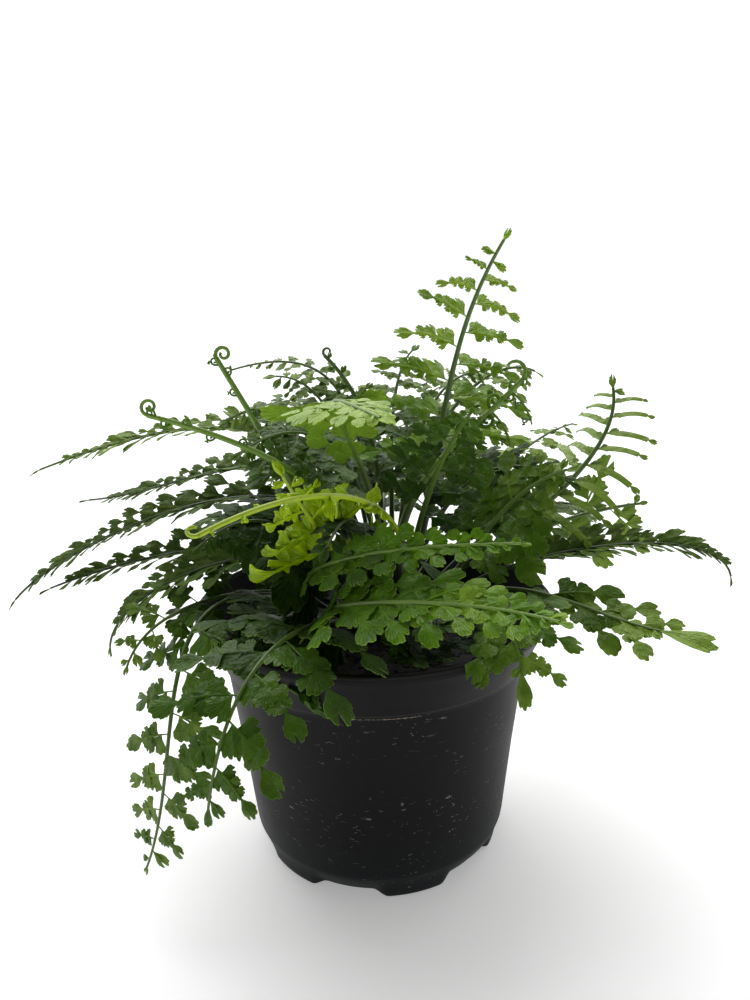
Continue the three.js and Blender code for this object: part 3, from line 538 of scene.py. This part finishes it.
    "back_e": BACK | dict(seat=(0.89, 133), pts=[(-25, 22, 15), (-65, 55, 35), (-95, 78, 5)], slot="dark",
        face=(-0.3, 0.2, 1), shade=0.1),
}
STEM_D = 2.0
TIP_SHARE = 0.4  # a stem's thickness at its tip, against its foot


def seat_point(share, angle):
    """A place just under the crown's surface."""
    turn = math.radians(angle)
    return np.array([
        CROWN_X + share * CROWN_R * math.cos(turn),
        share * CROWN_R * math.sin(turn),
        CROWN_TOP - CROWN_RISE + CROWN_RISE * math.sqrt(1 - share * share) - 1.5,
    ])


def bezier(points, steps):
    """Points along the cubic curve that four points steer."""
    t = np.linspace(0, 1, steps)[:, None]
    a, b, c, d = points
    return a * (1 - t) ** 3 + 3 * b * t * (1 - t) ** 2 + 3 * c * t**2 * (1 - t) + d * t**3


def leaflet_length(share, longest, taper=0.7):
    """A leaflet's length at a share of the leafy stretch: longest after the first few, short at the tip."""
    return longest * max(0.17, min(1, 0.65 + share * 3) * (1 - share) ** taper)


def build_frond(name, f):
    """One frond: its stem, its leaflets, and the lobe or the rolled tip at its end."""
    piece = Piece()
    start = seat_point(*f["seat"])
    points = [start] + [np.array([x, y, RIM_Z + z], float) for x, y, z in f["pts"]]
    dense = bezier(points, 400)
    legs = np.linalg.norm(np.diff(dense, axis=0), axis=1)
    run = np.concatenate([[0], np.cumsum(legs)])
    total = run[-1] * f["stop"]

    def at(share):
        where = share * total
        return np.array([np.interp(where, run, dense[:, k]) for k in range(3)])

    def heading(share):
        return unit(at(min(1, share + 0.004)) - at(max(0, share - 0.004)))

    coil = f["coil"]
    rings = max(20, int(total / 2.5))
    line = np.array([at(k / (rings - 1)) for k in range(rings)])
    radii = STEM_D / 2 * (1.12 - (1.12 - TIP_SHARE) * np.linspace(0, 1, rings) ** 1.2)
    if coil:
        radii = STEM_D / 2 * (1.15 - 0.5 * np.linspace(0, 1, rings))
    radii *= f["thick"]
    radii[0] *= 1.25
    add_tube(piece, line, radii, 1, rng.uniform(-0.05, 0.05), 0.0, 1.0)

    face = np.array(f["face"], float)
    n = f["n"]
    taper, last = f["taper"], f["last"]
    fine = np.linspace(0, 1, 200)
    crowd = np.cumsum([1 / leaflet_length(q, 1.0, taper) ** 0.6 for q in fine])
    shares = np.interp(np.linspace(crowd[0], crowd[-1], n), crowd, fine)
    stations = f["bare"] + (last - f["bare"]) * shares
    headings = [heading(s) for s in stations]
    middle = int(n * 0.4)
    across = [None] * n
    across[middle] = unit(np.cross(headings[middle], face))
    for i in range(middle + 1, n):
        across[i] = unit(across[i - 1] - headings[i] * across[i - 1].dot(headings[i]))
    for i in range(middle - 1, -1, -1):
        across[i] = unit(across[i + 1] - headings[i] * across[i + 1].dot(headings[i]))
    for i, station in enumerate(stations):
        share = shares[i]
        hand = 1 if i % 2 == 0 else -1
        root = at(station)
        out = across[i] * hand
        up = unit(np.cross(out, headings[i]) * hand)
        length = leaflet_length(share, f["leaf"], taper) * rng.uniform(0.9, 1.1)
        # each leaflet's tone: the frond's paleness, partly painted light and shade, with a random spread
        tone = f["shade"] + rng.uniform(-0.12, 0.12)
        if f["look"] == "bud":
            size = max(2.1, min(4.0, length * 0.6))
            way = unit(out + 0.6 * headings[i] + 0.25 * up)
            add_bud(piece, root, way, unit(headings[i] - way * way.dot(headings[i])), size, tone, share)
            if f["spray"] and i % 2:
                hanging = unit(out * hand + 0.3 * headings[i])
                add_spray(piece, root, hanging, across[i], f["spray"], tone, share)
        else:
            add_leaflet(piece, root, out, up, headings[i], length, f["look"], f["lift"], f["sweep"],
                        f["droop"], f["level"], tone, share)
    end = at(1.0)
    tangent = heading(0.998)
    side = unit(np.cross(tangent, face))
    if coil:
        curl = coil_points(end, tangent, side * f["turn"], coil, f["gap"])
        thick = np.linspace(0.62, 0.42, len(curl)) * STEM_D / 2 * max(1.0, f["thick"] * 0.8)
        add_tube(piece, curl, thick, 1, 0.0, 1.0, 1.0)
        centre = curl.mean(axis=0)
        style = dict(STYLES["young"], teeth=0.05)
        for k in range(2, len(curl), 3):
            out = unit(curl[k] - centre)
            flat = unit(face) * (1 if k % 2 else -1)
            add_lobe(piece, curl[k], unit(out * 0.5 + flat), out, 1.0, 0.6, style, 0.0, 1.0)
    else:
        style = dict(STYLES[f["look"]], cut=f["cut"])
        normal = unit(face - tangent * tangent.dot(face))
        size = f["tip"] or leaflet_length(0.94, f["leaf"]) * 1.3
        add_lobe(piece, end - tangent * 1.2, tangent, normal, size, f["point"], style, f["shade"], 1.0,
                 pointed=0.2)
    ob = piece.build("look_frond_" + name, [LEAF[f["slot"]], STEM[f["stem"] or f["slot"]]])
    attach(ob, "root")
    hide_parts("frond_" + name)


# ---------------------------------------------------------------- materials
def linear(r, g, b):
    """A screen colour from 0 to 255 as the linear colour that a shader takes."""
    shares = [c / 255 for c in (r, g, b)]
    return tuple(c / 12.92 if c <= 0.04045 else ((c + 0.055) / 1.055) ** 2.4 for c in shares) + (1.0,)


class Nodes:
    """A material and short ways to add nodes to it."""

    def __init__(self, name):
        self.material = bpy.data.materials.new(name)
        self.material.use_nodes = True
        self.tree = self.material.node_tree
        self.shader = self.tree.nodes["Principled BSDF"]

    def node(self, kind, **values):
        made = self.tree.nodes.new(kind)
        for key, value in values.items():
            setattr(made, key, value)
        return made

    def link(self, a, b):
        self.tree.links.new(a, b)

    def place(self):
        return self.node("ShaderNodeTexCoord").outputs["Object"]

    def set(self, name, given):
        """Gives one of the shader's own sockets a value or a link."""
        self.value(self.shader.inputs[name], given)

    def value(self, target, given):
        if hasattr(given, "links"):
            self.link(given, target)
        elif given is not None:
            target.default_value = given

    def math(self, op, a, b=None, c=None):
        made = self.node("ShaderNodeMath", operation=op)
        for socket, given in zip(made.inputs, (a, b, c)):
            self.value(socket, given)
        return made.outputs[0]

    def plus(self, a, b):
        return self.math("ADD", a, b)

    def times(self, a, b):
        return self.math("MULTIPLY", a, b)

    def apart(self, a, b):
        return self.math("ABSOLUTE", self.math("SUBTRACT", a, b))

    def swing(self, given, amount):
        """A value from 0 to 1 turned into one from minus to plus half the amount."""
        return self.times(self.math("SUBTRACT", given, 0.5), amount)

    def attribute(self, name):
        return self.node("ShaderNodeAttribute", attribute_name=name).outputs["Fac"]

    def mix(self, share, a, b, blend="MIX"):
        made = self.node("ShaderNodeMix", data_type="RGBA", blend_type=blend)
        self.value(made.inputs[0], share)
        self.value(made.inputs[6], a)
        self.value(made.inputs[7], b)
        return made.outputs[2]

    def span(self, given, low, high, to_low=0.0, to_high=1.0, smooth=True):
        made = self.node("ShaderNodeMapRange")
        if smooth:
            made.interpolation_type = "SMOOTHSTEP"
        values = {"Value": given, "From Min": low, "From Max": high, "To Min": to_low, "To Max": to_high}
        for key, amount in values.items():
            self.value(made.inputs[key], amount)
        return made.outputs[0]

    def noise(self, vector, scale, detail=2.0, rough=0.5):
        made = self.node("ShaderNodeTexNoise")
        self.value(made.inputs["Vector"], vector)
        made.inputs["Scale"].default_value = scale
        made.inputs["Detail"].default_value = detail
        made.inputs["Roughness"].default_value = rough
        return made.outputs["Fac"]

    def bump(self, height, strength, distance):
        made = self.node("ShaderNodeBump")
        made.inputs["Strength"].default_value = strength
        made.inputs["Distance"].default_value = distance
        self.link(height, made.inputs["Height"])
        return made.outputs[0]


def leaf_material(name, deep, mid, pale, under, gloss, shine):
    """Blade tissue: veins that fork outwards, a thin pale margin, uneven green and a duller underside."""
    m = Nodes(name)
    place = m.place()
    uv = m.node("ShaderNodeUVMap", uv_map="blade").outputs[0]
    split = m.node("ShaderNodeSeparateXYZ")
    m.link(uv, split.inputs[0])
    u, v = split.outputs[0], split.outputs[1]
    wobble = m.swing(m.noise(place, 260.0), 0.05)
    bent = m.plus(u, wobble)
    few = m.apart(m.math("FRACT", m.times(bent, 5.0)), 0.5)
    many = m.apart(m.math("FRACT", m.times(bent, 10.0)), 0.5)
    fork = m.span(v, 0.45, 0.6)
    inner = m.times(m.span(few, 0.40, 0.49), m.math("SUBTRACT", 1.0, fork))
    outer = m.times(m.span(many, 0.36, 0.49), fork)
    vein = m.plus(inner, outer)
    patch = m.noise(place, 90.0, 3.0, 0.6)
    fine = m.noise(place, 900.0, 2.0, 0.6)
    tone = m.plus(m.attribute("tone"), m.swing(patch, 0.9))
    tone = m.plus(tone, m.times(m.attribute("age"), 0.22))
    # painted shade: the green darkens near the plant's heart above the crown, where the fronds shade each
    # other
    reach = m.node("ShaderNodeVectorMath", operation="DISTANCE")
    m.link(place, reach.inputs[0])
    reach.inputs[1].default_value = (0.0, -0.01, 0.112)
    painted_heart_shade = m.span(reach.outputs["Value"], 0.10, 0.045)
    tone = m.math("SUBTRACT", tone, m.times(painted_heart_shade, 0.27))
    colour = m.mix(m.span(tone, -0.5, 0.15), deep, mid)
    colour = m.mix(m.span(tone, 0.1, 0.75), colour, pale)
    colour = m.mix(m.times(vein, 0.13), colour, pale)
    colour = m.mix(m.times(m.span(v, 0.965, 1.0), 0.38), colour, pale)
    colour = m.mix(m.times(m.attribute("under"), 0.55), colour, under)
    m.set("Base Color", colour)
    rough = m.plus(gloss, m.swing(fine, 0.22))
    rough = m.plus(rough, m.times(m.attribute("under"), 0.18))
    m.set("Roughness", rough)
    m.set("Specular IOR Level", shine)
    m.set("Subsurface Weight", 0.12)
    m.set("Subsurface Radius", (0.4, 0.9, 0.15))
    m.set("Subsurface Scale", 0.0006)
    height = m.plus(m.times(vein, -0.7), m.times(fine, 0.25))
    height = m.plus(height, m.times(m.noise(place, 300.0, 2.0, 0.5), 2.0))
    m.set("Normal", m.bump(height, 0.8, 0.0008))
    return m.material


def stem_material(name, foot, tip, gloss):
    """A stalk: dark at the foot, greener above, with faint length-wise ridges."""
    m = Nodes(name)
    place = m.place()
    streak = m.node("ShaderNodeMapping")
    m.link(m.node("ShaderNodeUVMap", uv_map="blade").outputs[0], streak.inputs["Vector"])
    streak.inputs["Scale"].default_value = (14.0, 3.0, 1.0)
    line = m.noise(streak.outputs[0], 1.0, 3.0, 0.6)
    spots = m.noise(place, 500.0, 3.0, 0.6)
    share = m.plus(m.attribute("age"), m.swing(line, 0.5))
    colour = m.mix(m.span(share, 0.05, 0.7), foot, tip)
    colour = m.mix(m.times(m.span(spots, 0.55, 0.75), 0.25), colour, linear(46, 40, 20))
    m.set("Base Color", colour)
    m.set("Roughness", m.plus(gloss, m.swing(spots, 0.2)))
    height = m.plus(m.times(line, 0.7), m.times(spots, 0.3))
    m.set("Normal", m.bump(height, 0.4, 0.0003))
    return m.material


# for each slot: a leaf's deep, middle and pale greens and its underside, how dull it is and its shine, and a
# stalk's foot and tip and how dull it is
GREENS = {
    "dark": (
        (16, 42, 2), (52, 84, 14), (100, 126, 54), (84, 106, 52), 0.45, 0.12,
        (24, 34, 14), (58, 80, 34), 0.38),
    "green": (
        (26, 58, 0), (68, 104, 10), (136, 166, 60), (104, 130, 48), 0.4, 0.22,
        (28, 42, 10), (84, 112, 40), 0.38),
    "light": (
        (42, 80, 0), (94, 140, 2), (162, 196, 60), (128, 160, 46), 0.38, 0.26,
        (36, 56, 10), (112, 146, 50), 0.36),
    "young": (
        (112, 146, 0), (160, 194, 0), (204, 228, 40), (172, 200, 24), 0.36, 0.26,
        (74, 98, 8), (164, 190, 30), 0.34),
}
LEAF, STEM = {}, {}
for green, (deep, mid, pale, under, leaf_dull, shine, foot, tip, stalk_dull) in GREENS.items():
    blade = [linear(*shade) for shade in (deep, mid, pale, under)]
    LEAF[green] = leaf_material("leaf " + green, *blade, leaf_dull, shine)
    STEM[green] = stem_material("stalk " + green, linear(*foot), linear(*tip), stalk_dull)


def pot_material():
    """Black half-dull moulded plastic with rubbed marks, lime specks and painted light and shade at collar,
    lip, foot.
    """
    m = Nodes("black plastic")
    place = m.place()
    wrap = m.node("ShaderNodeUVMap", uv_map="wrap").outputs[0]
    split = m.node("ShaderNodeSeparateXYZ")
    m.link(wrap, split.inputs[0])
    cloud = m.noise(place, 26.0, 4.0, 0.6)
    grain = m.noise(place, 1700.0, 2.0, 0.5)
    colour = m.mix(m.span(cloud, 0.35, 0.7), linear(5, 6, 5), linear(13, 14, 13))
    # painted bounce light from the pale floor: the wall turns lighter and bluer over its lowest 30
    # millimetres
    above_floor = split.outputs[1]
    low = m.span(above_floor, 30.0, 4.0)
    colour = m.mix(m.times(low, 0.55), colour, linear(18, 26, 30))

    def hairs(stretch, scale, width, spread, keep, shift):
        """Short curved hairlines: the narrow level lines of one noise, kept where another is high."""
        moved = m.node("ShaderNodeMapping")
        m.link(wrap, moved.inputs["Vector"])
        moved.inputs["Location"].default_value = (shift, 3 * shift, 0.0)
        moved.inputs["Scale"].default_value = (1.0, stretch, 1.0)
        level = m.apart(m.noise(moved.outputs[0], scale, 1.0), 0.5)
        kept = m.span(m.noise(moved.outputs[0], spread, 1.0), keep, keep + 0.03)
        return m.times(m.span(level, width, width * 0.3), kept)

    long_hairs = hairs(2.6, 0.16, 0.012, 0.20, 0.63, 11.0)
    small_hairs = hairs(1.6, 0.30, 0.022, 0.34, 0.65, 47.0)
    specks = m.span(m.noise(wrap, 0.75, 1.0, 0.5), 0.78, 0.81)
    patchy = m.span(m.noise(wrap, 0.045, 2.0, 0.6), 0.43, 0.57)
    wear = m.math("MAXIMUM", m.times(long_hairs, 0.62), m.times(small_hairs, 0.36))
    wear = m.times(m.math("MAXIMUM", wear, m.times(specks, 0.3)), patchy)
    # painted shade in the crease under the collar, a painted highlight on its edge and one on the lip:
    # depth below the rim, widths, share
    for depth, wide, narrow, share, shade in (
        (20.5, 0.7, 0.25, 0.75, linear(3, 3, 3)),
        (19.2, 0.7, 0.2, 0.4, linear(52, 54, 52)),
        (0.9, 0.6, 0.2, 0.35, linear(66, 68, 66)),
    ):
        ring = m.span(m.apart(above_floor, RIM_Z - depth), wide, narrow)
        colour = m.mix(m.times(ring, share), colour, shade)
    wear = m.times(wear, m.span(above_floor, 83.0, 77.0))
    colour = m.mix(wear, colour, linear(150, 152, 150))
    m.set("Base Color", colour)
    rough = m.plus(0.40, m.times(cloud, 0.24))
    m.set("Roughness", m.plus(rough, m.times(wear, 0.3)))
    m.set("Specular IOR Level", 0.13)
    height = m.plus(m.times(grain, 0.35), m.times(wear, 0.6))
    m.set("Normal", m.bump(height, 0.35, 0.0002))
    return m.material


def worn_line_material():
    """The rubbed tan edge on the collar's crease."""
    m = Nodes("rubbed crease")
    place = m.place()
    rubbed = m.span(m.noise(place, 700.0, 3.0, 0.7), 0.4, 0.62)
    m.set("Base Color", m.mix(rubbed, linear(70, 66, 60), linear(176, 160, 138)))
    m.set("Roughness", 0.7)
    return m.material


def earth_material(name, a, b, c, scale):
    """Damp potting mix: dark crumbs with paler bark fibres."""
    m = Nodes(name)
    place = m.place()
    big = m.noise(place, scale, 5.0, 0.7)
    fine = m.noise(place, scale * 6, 4.0, 0.7)
    colour = m.mix(m.span(big, 0.35, 0.65), a, b)
    colour = m.mix(m.times(m.span(fine, 0.58, 0.72), 0.6), colour, c)
    m.set("Base Color", colour)
    m.set("Roughness", m.plus(0.7, m.times(fine, 0.25)))
    m.set("Normal", m.bump(m.plus(big, m.times(fine, 0.5)), 0.9, 0.001))
    return m.material


# ---------------------------------------------------------------- the pot
def smooth(x, low, high):
    """From 0 to 1 between low and high, with soft ends."""
    t = np.clip((x - low) / (high - low), 0, 1)
    return t * t * (3 - 2 * t)


WRAP_WIDTH = 340.0  # millimetres once round the pot, for its material's marks


def lathe(name, profile, sides, material, shape):
    """A closed profile of [radius, height] turned round the axis; shape moves each ring's points."""
    profile = np.array(profile, float)
    turn = np.arange(sides) / sides * 2 * math.pi
    rows = []
    for radius, height in profile:
        r, z = shape(turn, np.full(sides, radius), np.full(sides, height))
        rows.append(np.stack([r * np.cos(turn), r * np.sin(turn), z], -1))
    verts = np.concatenate(rows) * MM
    faces, wrap = [], []
    n = len(profile)
    for i in range(n - 1):
        for j in range(sides):
            k = (j + 1) % sides
            faces.append((i * sides + j, i * sides + k, (i + 1) * sides + k, (i + 1) * sides + j))
            x0, x1 = j / sides * WRAP_WIDTH, (j + 1) / sides * WRAP_WIDTH
            z0, z1 = profile[i][1], profile[i + 1][1]
            wrap += [(x0, z0), (x1, z0), (x1, z1), (x0, z1)]
    faces.append(tuple(range(sides - 1, -1, -1)))
    faces.append(tuple(range((n - 1) * sides, n * sides)))
    wrap += [(0.0, 0.0)] * (2 * sides)
    mesh = bpy.data.meshes.new(name)
    mesh.from_pydata(verts.tolist(), [], faces)
    layer = mesh.uv_layers.new(name="wrap")
    layer.data.foreach_set("uv", np.array(wrap, np.float32).ravel())
    mesh.materials.append(material)
    mesh.shade_smooth()
    mesh.set_sharp_from_angle(angle=math.radians(40))
    return new_object(name, mesh)


FEET = 6
FOOT_R = 48.0
DRAINS, DRAIN_R, DRAINS_AT = 8, 4.5, 33.0


def foot_gaps(turn, r, z):
    """Between the feet the lower edge lifts and draws in."""
    phase = (turn / (2 * math.pi) * FEET - 0.25) % 1.0
    off = np.minimum(phase, 1 - phase) * (2 * math.pi / FEET) * FOOT_R
    gap = 1 - smooth(off, 9.0, 15.0)
    lower = (1 - smooth(z, 0.0, 9.0)) * (r > 40)
    outer = lower * (r > 47)
    return r - 1.5 * gap * outer, z + 2.3 * gap * lower * (z < 5)


def drain_cutter(sides=20):
    """The rods that cut the drain holes."""
    verts, faces = [], []
    for i in range(DRAINS):
        a = (i + 0.5) / DRAINS * 2 * math.pi
        first = len(verts)
        for z in (1.0, 7.0):
            for k in range(sides):
                b = k / sides * 2 * math.pi
                x = DRAINS_AT * math.cos(a) + DRAIN_R * math.cos(b)
                y = DRAINS_AT * math.sin(a) + DRAIN_R * math.sin(b)
                verts.append((x * MM, y * MM, z * MM))
        for k in range(sides):
            m = (k + 1) % sides
            faces.append((first + k, first + m, first + sides + m, first + sides + k))
        faces.append(tuple(first + k for k in range(sides - 1, -1, -1)))
        faces.append(tuple(first + sides + k for k in range(sides)))
    mesh = bpy.data.meshes.new("drill")
    mesh.from_pydata(verts, [], faces)
    return new_object("drill", mesh)


def build_pot():
    """The pot, and the rubbed line on its collar."""
    rim, lip, shoulder = RIM_R, LIP_Z, SHOULDER_Z
    # the outside from the floor up, over the lip, and the inside down again
    profile = [
        (0.4, 0), (11.6, 0), (12.2, 0.5), (13, 2.9), (13.6, 3.1), (30, 3.1), (43.6, 3.1), (44.1, 2.7),
        (44.7, 0.5), (45.3, 0), (47.6, 0), (48.3, 0.35), (48.7, 1.2), (49.1, 3.2), (49.9, 6.2),
        (50.8, 9.0), (51.15, 9.8), (51.3, 10.3), (51.6, 12), (53.2, 27), (55.0, 43), (56.8, 57),
        (58.2, 69), (59.2, shoulder - 2.4), (59.5, shoulder - 0.8), (59.8, shoulder - 0.3),
        (60.5, shoulder - 0.1), (60.75, shoulder + 0.5), (61.6, shoulder + 2.6), (64.0, shoulder + 7),
        (66.3, shoulder + 12), (68.1, lip - 0.7), (68.45, lip - 0.15), (69.2, lip), (69.75, lip + 0.25),
        (rim, lip + 0.9), (rim, lip + 2.3), (rim - 0.25, lip + 3.0), (rim - 0.8, RIM_Z - 0.15),
        (rim - 1.5, RIM_Z), (rim - 2.3, RIM_Z - 0.1), (rim - 2.8, RIM_Z - 0.5), (rim - 3.1, RIM_Z - 1.3),
        (66.5, lip), (63.5, shoulder + 10), (59.4, shoulder + 0.4), (58.4, shoulder - 1), (56.5, 66),
        (53.2, 38), (50.1, 11), (49.2, 8.2), (47.8, 6.1), (45.5, 5.1), (30, 5.0), (0.4, 5.0),
    ]
    ob = lathe("look_pot", profile, 240, pot_material(), foot_gaps)
    drill = drain_cutter()
    cut = ob.modifiers.new("drain holes", "BOOLEAN")
    cut.operation = "DIFFERENCE"
    cut.object = drill
    bpy.context.view_layer.objects.active = ob
    bpy.ops.object.modifier_apply(modifier=cut.name)
    bpy.data.objects.remove(drill)
    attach(ob, "root")
    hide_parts("pot")

    # the rubbed stretch of the collar's lower edge, as a hair-thin raised line on the crease
    piece = Piece()
    for first, last, thick in ((-97, -90, 0.16), (-90, -84, 0.24), (-84, -76, 0.3)):
        turn = np.radians(np.linspace(first, last, 24))
        jig = rng.normal(0, 0.05, (24, 1))
        line = np.stack([60.62 * np.cos(turn), 60.62 * np.sin(turn), np.full(24, shoulder - 0.02)], -1)
        line[:, 2:] += jig
        add_tube(piece, line, thick * rng.uniform(0.5, 1.1, 24), 0, 0, 0, 0)
    worn = piece.build("look_pot_crease", [worn_line_material()])
    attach(worn, "root")


# ---------------------------------------------------------------- the soil and the crown
def scatter(name, bits, material):
    """Many small lumps in one mesh: each bit is (place, size xyz, turn)."""
    bpy.ops.mesh.primitive_ico_sphere_add(subdivisions=1, radius=1.0)
    proto = bpy.context.object
    pv = np.array([v.co for v in proto.data.vertices])
    pf = np.array([p.vertices[:] for p in proto.data.polygons])
    bpy.data.objects.remove(proto)
    verts, faces = [], []
    for place, size, turn in bits:
        shape = pv * (1 + 0.22 * rng.normal(0, 1, (len(pv), 1))) * size
        spin = np.array(Matrix.Rotation(turn[0], 3, "Z") @ Matrix.Rotation(turn[1], 3, "X"))
        faces.append(pf + len(pv) * len(verts))
        verts.append(shape @ spin.T + place)
    mesh = bpy.data.meshes.new(name)
    mesh.from_pydata((np.concatenate(verts) * MM).tolist(), [], np.concatenate(faces).tolist())
    mesh.materials.append(material)
    return new_object(name, mesh)


SOIL_DIP = 3.0  # how far the visible surface's level lies below the soil's highest point
SOIL_R = 62.5


def soil_height(x, y):
    """The soil's uneven surface, a little higher round the crown."""
    r = math.hypot(x, y)
    mound = 1.8 * max(0.0, 1 - r / 34) ** 0.8
    return SOIL_TOP - SOIL_DIP + mound + 0.9 * math.sin(x * 0.21 + 1) * math.cos(y * 0.17)


def build_soil():
    """The potting mix, with loose bark bits and pale grit on it."""
    top = SOIL_TOP - SOIL_DIP
    outer = SOIL_R
    profile = [(0.4, 5.6), (44, 5.6), (49.0, 9.4), (50.0, 14), (56.5, 70), (58.4, 77)]
    profile += [(outer - 1.2, top - 1.2)]
    profile += [(r, top) for r in np.linspace(outer - 1.0, 2.0, 40)]
    profile += [(0.4, top)]

    def relief(turn, r, z):
        if z[0] < top - 0.1:
            return r, z
        x, y = r * np.cos(turn), r * np.sin(turn)
        lift = np.array([soil_height(a, b) for a, b in zip(x, y)]) - top
        return r, z + lift + 0.35 * np.sin(x * 1.7 + 3 * np.sin(y * 0.9)) * np.cos(y * 1.9)

    mix = earth_material("potting mix", linear(7, 5, 4), linear(18, 13, 9), linear(56, 42, 29), 160.0)
    ob = lathe("look_soil", profile, 120, mix, relief)
    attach(ob, "root")
    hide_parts("soil")
    bits, pale = [], []
    for k in range(1500):
        r, a = 60.5 * math.sqrt(rng.random()), rng.uniform(0, 2 * math.pi)
        x, y = r * math.cos(a), r * math.sin(a)
        if math.hypot(x - CROWN_X, y) < 14:
            continue
        size = rng.uniform(0.4, 1.5) * np.array([1, rng.uniform(0.4, 1), rng.uniform(0.3, 0.7)])
        if k % 6 == 0:
            size = np.array([rng.uniform(2.5, 5.0), 0.35, 0.3])
        bit = (np.array([x, y, soil_height(x, y) + 0.1]), size, (rng.uniform(0, 6.3), rng.uniform(-0.5, 0.5)))
        (pale if k % 23 == 0 else bits).append(bit)
    bark = earth_material("bark bits", linear(16, 11, 8), linear(38, 27, 17), linear(80, 60, 40), 400.0)
    grit = earth_material("grit", linear(84, 80, 70), linear(128, 122, 108), linear(70, 62, 50), 500.0)
    for name, group, material in (("look_soil_bits", bits, bark), ("look_soil_grit", pale, grit)):
        extra = scatter(name, group, material)
        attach(extra, "root")


DOME_R = 17.2


def build_crown():
    """The rootstock: a dark knob covered with narrow brown scales."""
    bits = []
    centre = np.array([CROWN_X, 0, CROWN_TOP - CROWN_RISE])
    for _ in range(900):
        a = rng.uniform(0, 2 * math.pi)
        s = math.sqrt(rng.random())
        z = math.sqrt(max(0.0, 1 - s * s))
        out = s * DOME_R
        place = centre + np.array([out * math.cos(a), out * math.sin(a), z * (CROWN_RISE - 0.8)])
        bits.append((place, np.array([0.35, 0.3, rng.uniform(1.0, 2.4)]), (a, rng.uniform(-0.6, 0.6))))
    scale = earth_material("crown scales", linear(26, 17, 10), linear(58, 38, 22), linear(120, 88, 54), 300.0)
    scales = scatter("look_crown_scales", bits, scale)
    bpy.ops.mesh.primitive_ico_sphere_add(subdivisions=4, radius=1.0)
    dome = bpy.context.object
    dome.name = "look_crown"
    co = np.array([v.co for v in dome.data.vertices])
    co *= 1 + 0.012 * np.random.default_rng(5).normal(0, 1, (len(co), 1))
    co = co * np.array([DOME_R, DOME_R, CROWN_RISE - 0.6]) + centre
    dome.data.vertices.foreach_set("co", (co * MM).astype(np.float32).ravel())
    dome.data.materials.append(scale)
    dome.data.shade_smooth()
    dome.data.update()
    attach(dome, "root")
    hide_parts("crown")
    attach(scales, "root")


build_pot()
build_soil()
build_crown()
for frond_name, frond in FRONDS.items():
    build_frond(frond_name, frond)

# ---------------------------------------------------------------- floor, light and camera
FLOOR_REACH, FLOOR_Z = 9, -0.0003  # metres
LENS, SENSOR = 27.13, 36
TILT_DOWN, ROLL = 13.85, -1.49  # degrees
CAMERA_PLACE = (0.0012, -0.283, 0.2088)  # metres

floor_mesh = bpy.data.meshes.new("floor")
corners = [(-FLOOR_REACH, -FLOOR_REACH), (FLOOR_REACH, -FLOOR_REACH), (FLOOR_REACH, FLOOR_REACH),
           (-FLOOR_REACH, FLOOR_REACH)]
floor_mesh.from_pydata([(x, y, FLOOR_Z) for x, y in corners], [], [(0, 1, 2, 3)])
floor = new_object("floor", floor_mesh)
paper = Nodes("pale floor")
paper.set("Base Color", (0.92, 0.92, 0.92, 1))
paper.set("Roughness", 0.9)
paper.set("Emission Color", (1.0, 1.0, 1.0, 1))
paper.set("Emission Strength", 0.34)
floor_mesh.materials.append(paper.material)

world = bpy.data.worlds.new("soft studio")
bpy.context.scene.world = world
bpy.context.scene.view_settings.view_transform = "Standard"
world.use_nodes = True
sky = world.node_tree
sky_way = sky.nodes.new("ShaderNodeTexCoord")
sky_split = sky.nodes.new("ShaderNodeSeparateXYZ")
sky_span = sky.nodes.new("ShaderNodeMapRange")
sky.links.new(sky_way.outputs["Generated"], sky_split.inputs[0])
sky.links.new(sky_split.outputs["Y"], sky_span.inputs["Value"])
for key, amount in (("From Min", -0.4), ("From Max", 0.6), ("To Min", 0.06), ("To Max", 1.04)):
    sky_span.inputs[key].default_value = amount
sky.links.new(sky_span.outputs[0], sky.nodes["Background"].inputs["Strength"])
sky.nodes["Background"].inputs["Color"].default_value = (1.0, 1.0, 1.0, 1)

# each sun: its two turns from straight down, its strength, and how wide and so how soft it is, in degrees
for lamp_name, slope, power, spread in (("high sun", (-28, -14), 1.95, 50), ("back sun", (-55, 35), 0.5, 60)):
    sun_data = bpy.data.lights.new(lamp_name, "SUN")
    sun_data.energy = power
    sun_data.angle = math.radians(spread)
    sun = new_object(lamp_name, sun_data)
    sun.rotation_euler = (math.radians(slope[0]), math.radians(slope[1]), 0)

camera_data = bpy.data.cameras.new("camera")
camera_data.lens = LENS
camera_data.sensor_width = SENSOR
camera_data.sensor_fit = "AUTO"
camera_data.clip_start = 0.01
camera = new_object("camera", camera_data)
tilt, roll = math.radians(TILT_DOWN), math.radians(ROLL)
ahead = np.array([0, math.cos(tilt), -math.sin(tilt)])
over = np.array([0, math.sin(tilt), math.cos(tilt)])
right = math.cos(roll) * X_WAY + math.sin(roll) * over
top = math.cos(roll) * over - math.sin(roll) * X_WAY
pose = Matrix.Identity(4)
for row in range(3):
    pose[row] = (right[row], top[row], -ahead[row], CAMERA_PLACE[row])
camera.matrix_world = pose
bpy.context.scene.camera = camera
